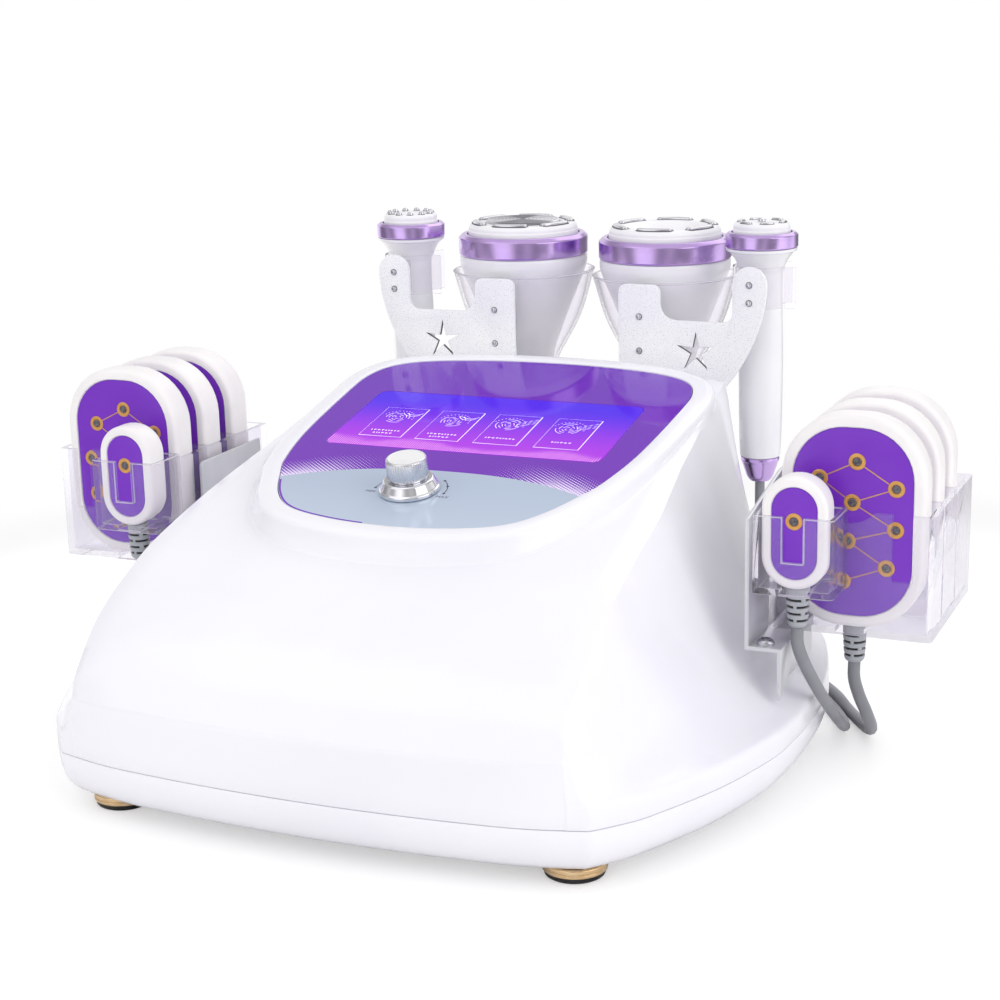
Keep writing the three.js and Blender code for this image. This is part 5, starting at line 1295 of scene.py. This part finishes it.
# A ring in plan, open at the mouth, with lips that spread from it
def makeClip(side, word, radius, wall, low, high, mouth, turn, lip, tab):
    half, tip = math.radians(mouth / 2), radius + lip
    start = half + wall / radius
    lips = [(tip, half), (tip, half + wall / tip), (radius + 1, start)]
    outer = [(radius, start + (math.tau - 2 * start) * i / 40) for i in range(41)]
    inner = [(radius - wall, -half - (math.tau - 2 * half) * i / 40) for i in range(41)]
    bm = bmesh.new()
    slab(bm, [polar(*p) for p in lips + outer + [(r, -angle) for r, angle in reversed(lips)] + inner], low, high, 0.45)
    x, y = side * smallPlace[0], smallPlace[1]
    place = Matrix.Translation((x, y, 0)) @ rotated("Z", turn)
    finishPiece(bm, word + "Clip", "smokedAcrylic", (word + "_clip",), place=place, sharp=40)
    makeTab(word + "Clip", x, tab[0], low, high, tab[1], 1.5, 4)


for side, word in sides:
    makeCup(side, word, **cupFacts)
    makeClip(side, word, **clipFacts)
print("cups and clips ready")


def addStud(bm, place, radius):
    addSpun(bm, [(0, -0.8), (radius, -0.8), (radius, 0.3, 0.2), (radius * 0.95, radius * 0.7, 0.5),
                 (radius * 0.5, radius * 0.98, 0.6), (0, radius * 1.02)], 20, Matrix.Translation(place))


# A rounded bar bent along a circle, each half of its outline being a long side and an end
def addArcBar(bm, ring, width, rise, centre, angle, top):
    sideSteps, endSteps = 14, 8
    outline = []
    for way in (1, -1):
        middle = way * (math.radians(angle / 2) - width / 2 / ring)
        out, on = Vector(polar(1, middle)), Vector((-math.sin(middle), math.cos(middle)))
        outline += [polar(ring + way * width / 2, (2 * i / sideSteps - 1) * middle) for i in range(sideSteps + 1)]
        for i in range(1, endSteps):
            across, along = polar(way * width / 2, math.pi * i / endSteps)
            outline.append(tuple(out * (ring + across) + on * along))
    addSlab(bm, outline, -0.6, rise, Matrix.Translation((0, 0, top)) @ rotated("Z", centre),
            min(rise, width / 2) * 0.75, 4)


# Dark pieces a little larger than the electrodes and studs sit under them and paint the shade at their foot
def finishHead(bm, footShade, name, body, place):
    place = Matrix.Translation(place)
    finishPiece(footShade, name + "FootShade", "paintedShadeGrey", (), body, place, 30)
    finishPiece(bm, name + "Electrodes", "electrodeChrome", (), body, place, 40)


# Small hand pieces
smallFacts = {"tail": 103.5, "end": 118, "grip": 12.2, "neck": 11.8, "clipLow": 204, "coneZ": 224, "clipHigh": 227,
              "ring": 20.2, "low": 237.3, "high": 245.6, "head": 16, "top": 250.9, "studRing": 12.2, "studs": 11,
              "plug": 13}


def smallHandle(side, word, tail, end, grip, neck, clipLow, coneZ, clipHigh, ring, low, high, head, top, studRing,
                studs, plug):
    name, node, body = "small" + word.title(), f"small_{word}_", word + "_small_handle"
    place = (side * smallPlace[0], smallPlace[1], 0)
    form = [(0, end - 0.2), (grip * 0.86, end - 0.2), (grip * 0.93, end + 0.3, 0.3), (grip * 0.97, end + 8, 6),
            (grip, end + 24, 10), (grip * 1.03, end + 60, 20), (neck, clipLow, 6), (neck, coneZ - 1, 1.2),
            (13.3, clipHigh, 1.5), (14.6, clipHigh + 3.2, 2), (ring * 0.9, low - 2.4, 1.2),
            (ring * 0.97, low - 2, 0.5), (ring * 0.985, low - 0.3, 0.3), (plug, low - 0.3), (plug, high - 2.3),
            (0, high - 2.3)]
    turnedPiece(name + "Body", form, place, "handleWhite", (node + "body",), body, 72)
    collar = [(0, tail), (5.6, tail, 0.6), (7.4, tail + 2.2, 1.4), (grip * 0.86, end - 3.2, 1),
              (grip * 0.9, end - 2.2, 0.4), (grip * 0.9, end - 0.3, 0.2), (0, end - 0.3)]
    turnedPiece(name + "Collar", collar, place, "anodisedPurple", (), body, 64)
    hole = plug + 0.3
    band = [(hole, low), (ring - 0.5, low), (ring, low + 0.5, 0.3), (ring, high - 1.5, 0.3),
            (ring - 0.35, high - 1.1, 0.2), (ring - 1.5, high - 0.1, 0.3), (ring - 1.9, high, 0.2),
            (head + 1, high), (head + 0.8, high - 1.9), (hole, high - 1.9), (hole, low)]
    turnedPiece(name + "Ring", band, place, "anodisedPurple", (node + "ring",), body, 96)
    cap = [(0, high - 1.6), (head, high - 1.6), (head, high + 1.2, 0.4), (head - 0.3, high + 1.7, 0.4),
           (head - 0.3, top - 1.5, 0.6), (head - 1.4, top - 0.2, 0.8), (head - 2.2, top, 0.4), (0, top)]
    turnedPiece(name + "Head", cap, place, "headWhite", (node + "head",), body, 72)
    bm, footShade = bmesh.new(), bmesh.new()
    if side < 0:
        for i in range(studs):
            spot = (*polar(studRing, i / studs * math.tau), top)
            addStud(bm, spot, 1.75)
            addSpun(footShade, [(0, -0.3), (2.15, -0.3), (2.15, 0.12), (0, 0.12)], 20, Matrix.Translation(spot))
    else:
        for i in range(6):
            addArcBar(bm, studRing, 3.2, 1.1, i * 60, 38, top)
            addArcBar(footShade, studRing, 3.8, 0.15, i * 60, 41, top)
        addStud(bm, (0, 0, top), 2.2)
    finishHead(bm, footShade, name, body, place)


for side, word in sides:
    smallHandle(side, word, **smallFacts)
print("small hand pieces ready")

# Large hand pieces
bigFacts = {"end": 128, "endRadius": 13.5, "grip": 16.4, "gripZ": 160, "neckZ": 163, "rimZ": 217, "wide": 38,
            "ring": 38.4, "low": 226.5, "high": 238.7, "head": 32.6, "top": 245, "plug": 28.6, "seatDrop": 4.4,
            "disc": 22.2, "discRings": 9, "hollow": 20, "bars": 27.8, "barTurn": 36}


def bigHandle(side, word, end, endRadius, grip, gripZ, neckZ, rimZ, wide, ring, low, high, head, top, plug, seatDrop,
              disc, discRings, hollow, bars, barTurn):
    name, node, body = "big" + word.title(), f"big_{word}_", word + "_big_handle"
    place = (side * bigPlace[0], bigPlace[1], 0)
    form = [(0, end), (endRadius - 1.5, end, 1), (endRadius, end + 1.6, 1), (endRadius * 1.15, end + 12, 5),
            (grip, gripZ, 8), (grip * 1.12, neckZ + 8, 5), (wide * 0.73, neckZ + 32, 12), (wide * 0.93, rimZ - 4, 8),
            (wide, rimZ + 4, 4), (wide, low - 1.6, 0.5), (wide - 0.5, low - 0.3), (plug, low - 0.3), (plug, high - 5),
            (0, high - 5)]
    turnedPiece(name + "Body", form, place, "handleWhite", (node + "body",), body, 96)
    hole, seat = plug + 0.3, high - seatDrop
    band = [(hole, low), (ring - 0.7, low), (ring, low + 0.7, 0.4), (ring, high - 2.3, 0.4),
            (ring - 0.5, high - 1.7, 0.3), (ring - 2.1, high - 0.15, 0.4), (ring - 2.7, high, 0.3),
            (head + 1, high), (head + 0.8, high - 0.6), (head + 0.8, seat), (hole, seat), (hole, low)]
    turnedPiece(name + "Ring", band, place, "anodisedPurple", (node + "ring",), body, 128)
    cap = [(0, seat + 0.3), (head, seat + 0.3), (head, high + 2, 0.6), (head - 0.4, high + 2.5, 0.5),
           (head - 0.5, top - 2.2, 1), (head - 2, top - 0.3, 1.2), (head - 3, top, 0.6)]
    if side < 0:
        well = disc + 0.3
        cap += [(well + 0.4, top, 0.2), (well, top - 0.4), (well, top - 3.2), (0, top - 3.2)]
    else:
        cap += [(hollow + 2.5, top, 2), (hollow * 0.95, top - 2.5, 3), (hollow * 0.62, top - 8.4, 6), (0, top - 9)]
    turnedPiece(name + "Head", cap, place, "headWhite", (node + "head",), body, 96)
    bm, footShade = bmesh.new(), bmesh.new()
    for i in range(6):
        addArcBar(bm, bars, 4.4, 1.4, barTurn + i * 60, 44, top)
        addArcBar(footShade, bars, 5.5, 0.2, barTurn + i * 60, 46.4, top)
    finishHead(bm, footShade, name, body, place)
    if side < 0:
        step = (disc - 2) / discRings
        form = [(0, top - 2.9), (disc, top - 2.9), (disc, top + 0.6, 0.4)]
        for i in range(discRings):
            outer = disc - 1 - i * step
            form += [(outer, top + 1.5, 0.4), (outer - step * 0.5, top + 1.6, 0.4),
                     (outer - step * 0.62, top + 0.9, 0.2), (outer - step * 0.86, top + 0.9, 0.2)]
        turnedPiece("transducerDisc", form + [(0, top + 1.5)], place, "turnedSteel", ("transducer_disc",), body, 96)


for side, word in sides:
    bigHandle(side, word, **bigFacts)
print("large hand pieces ready")

# Side holders: brackets and clear boxes keep the solids' own shapes, with their edges eased
holderFacts = {"x": 204.4, "smallX": 184.1, "screw": (171, -55, 75.5), "screwRadius": 4.2}
for side, word in sides:
    easedCopy(word + "_bracket", word + "Bracket", "bracketSteel", 0.45)
    # The boxes' eased rims get a copy in the painted-highlight look
    easedCopy(word + "_pad_box", word + "PadBox", "clearAcrylic", 0.5, rim="acrylicRimHighlight")
    easedCopy(word + "_small_pad_box", word + "SmallPadBox", "clearAcrylic", 0.5, rim="acrylicRimHighlight")
    screw = bmesh.new()
    x, y, z = holderFacts["screw"]
    addScrew(screw, (side * x, y, z), holderFacts["screwRadius"], Matrix.Identity(4))
    finishPiece(screw, word + "BracketScrew", "screwSteel")

# Light pads; sizes are (width, height, depth), fronts are the pads' faces along Y, links join diodes by number
padFacts = {
    "big": {"size": (70, 104, 22), "corner": 31, "edge": 3, "margin": 5.6, "z": 130.8},
    "small": {"size": (32, 54.6, 18), "corner": 15.9, "edge": 2.6, "margin": 4.7, "z": 131.0},
    "bigFronts": (-26.7, 3.5, 33.7),
    "smallFront": -55.7,
    "diodes": [(2, 30), (21, 18), (-16, 21), (0, 10), (21, -2), (-2, -9), (17, -21), (-4, -29), (-21, 1), (-19, -19)],
    "links": [(0, 1), (0, 2), (2, 3), (3, 1), (3, 4), (4, 5), (5, 8), (5, 6), (6, 7), (7, 9)],
}
diodeFacts = {
    "ring": [(2.0, 0), (4.1, 0), (4.1, 0.35, 0.2), (3.6, 0.55, 0.2), (2.4, 0.5, 0.2), (2.0, 0)],
    "lens": [(0, 0), (2.1, 0), (2.1, 0.3, 0.1), (1.7, 0.75, 0.4), (1.2, 0.55, 0.2), (0.8, 0.8, 0.3), (0, 0.95)],
}


# Rounded rectangles of one width, height and corner, inset and set at the heights of the levels
def insetLoops(width, height, corner, levels):
    return [[(x, y, z) for x, y in roundedRectangle(width - 2 * inset, height - 2 * inset, corner - inset, 10)]
            for inset, z in levels]


def makePad(kind, body, name, x, front, node, faceNodes, diodes, links):
    (width, height, depth), corner, edge, margin = kind["size"], kind["corner"], kind["edge"], kind["margin"]
    place = Matrix.Translation((x, front + depth, kind["z"])) @ standUp
    levels = [(margin, depth - 1), (margin, depth - 0.35), (margin - 0.4, depth), (edge * 0.8, depth)]
    for turn in (i / 6 * math.pi / 2 for i in range(1, 7)):
        levels.append((edge * 0.8 * (1 - math.sin(turn)), depth - edge + edge * math.cos(turn)))
    for turn in (i / 8 * math.pi / 2 for i in range(9)):
        levels.append((corner * 0.3 * (1 - math.cos(turn)), depth * 0.42 * (1 - math.sin(turn))))
    bm = bmesh.new()
    lofted(bm, insetLoops(width, height, corner, levels))
    finishPiece(bm, name + "Shell", "padWhite", (node,), body, place, 40)
    margin += 0.3
    levels = ((0, depth - 2.1), (0, depth - 0.75), (0.3, depth - 0.5), (2, depth - 0.38), (8, depth - 0.2))
    bm = bmesh.new()
    lofted(bm, insetLoops(width - 2 * margin, height - 2 * margin, corner - margin, levels))
    finishPiece(bm, name + "Face", "padPurple", faceNodes, body, place, 30)
    gold, lenses = bmesh.new(), bmesh.new()
    for a, b in links:
        inkLine(gold, [diodes[a], diodes[b]], 0.55, depth - 0.12)
    for a, b in diodes:
        spot = Matrix.Translation((a, b, depth - 0.35))
        addSpun(gold, diodeFacts["ring"], 36, spot)
        addSpun(lenses, diodeFacts["lens"], 28, spot)
    finishPiece(gold, name + "Gold", "padGold", (), body, place)
    finishPiece(lenses, name + "Lenses", "lensGlass", (), body, place)


# Strain relief: it hangs down from its top and narrows, with gaps between ribs that short webs bridge
reliefFacts = {"radius": 5.8, "end": 4.6, "length": 20, "gaps": 4, "first": 5.2, "pitch": 3.4}


def makeRelief(name, centre, body, node, radius, end, length, gaps, first, pitch):
    def reliefRadius(z):
        return radius + (end - radius) * (-z / length) ** 2

    form, webs = [(0, 0), (radius - 0.4, 0, 0.2), (radius, -0.4)], bmesh.new()
    for i in range(gaps):
        z = -first - i * pitch
        here = reliefRadius(z)
        form += [(here, z), (here - 0.1, z - 0.1), (here - 1.1, z - 0.2), (here - 1.1, z - 1.3), (here, z - 1.4)]
        z -= 0.75
        here = reliefRadius(z)
        for turn in (0, 120, 240) if i % 2 else (45, 225):
            addSlab(webs, roundedRectangle(1.5 if i % 2 else 2.2, 1.3, 0.2, 2), here - 1.3, here - 0.02,
                    Matrix.Translation((0, 0, z)) @ rotated("Z", turn) @ rotated("X", 90), 0.1, 1)
    form += [(end + 0.2, -length + 1.2, 0.8), (end - 1.1, -length), (0, -length)]
    # A black core shows through the gaps between the ribs: painted shade inside them
    gapShade = [(0, -3), (radius - 0.75, -3), (end - 0.45, -length + 1.6), (0, -length + 1.6)]
    place = Matrix.Translation(centre)
    for word, look, profile, steps, nodes in (("", "reliefGrey", form, 40, (node,)),
                                              ("GapShade", "rockerBlack", gapShade, 32, ())):
        bm = bmesh.new()
        spun(bm, profile, steps)
        finishPiece(bm, name + word, look, nodes, body, place, 30)
    finishPiece(webs, name + "Webs", "reliefGrey", (), body, place, 30)


for side, word in sides:
    for i, front in enumerate(padFacts["bigFronts"]):
        makePad(padFacts["big"], f"{word}_light_pad_{i + 1}", f"{word}Pad{i + 1}", side * holderFacts["x"], front,
                f"{word}_pad_{i + 1}", () if i else (word + "_pad_1_face",), padFacts["diodes"], padFacts["links"])
    body, x = word + "_small_light_pad", side * holderFacts["smallX"]
    makePad(padFacts["small"], body, word + "SmallPad", x, padFacts["smallFront"], word + "_small_pad",
            (word + "_small_pad_face",), [(0, 6)], [])
    makeRelief(word + "SmallRelief", (x, -46.7, 103.4), body, word + "_small_pad_relief", **reliefFacts)
makeRelief("rightPadRelief", (holderFacts["x"], -15.7, 78.5), "right_light_pad_1", "right_pad_1_relief", **reliefFacts)
print("pads ready")

# Rear: panel, dark plates behind its openings that paint the shade inside them, inlet and rocker
openingShadeFacts = {"low": -121, "high": -120.8, "plates": ((-23, 88, 126, 84), (63, 62, 46, 32))}
easedCopy("rear_panel", "rearPanel", "rearBlack", 0.35)
bm = bmesh.new()
for x, z, width, height in openingShadeFacts["plates"]:
    addSlab(bm, roundedRectangle(width, height, 2, 3), openingShadeFacts["low"], openingShadeFacts["high"],
            Matrix.Translation((x, 0, z)) @ standUp, 0.05, 1)
finishPiece(bm, "rearOpeningShade", "rockerBlack", sharp=30)
easedCopy("mains_inlet", "mainsInlet", "rearBlack", 0.3)
easedCopy("power_rocker", "powerRocker", "rockerBlack", 0.3, "rocker")
print("rear ready")
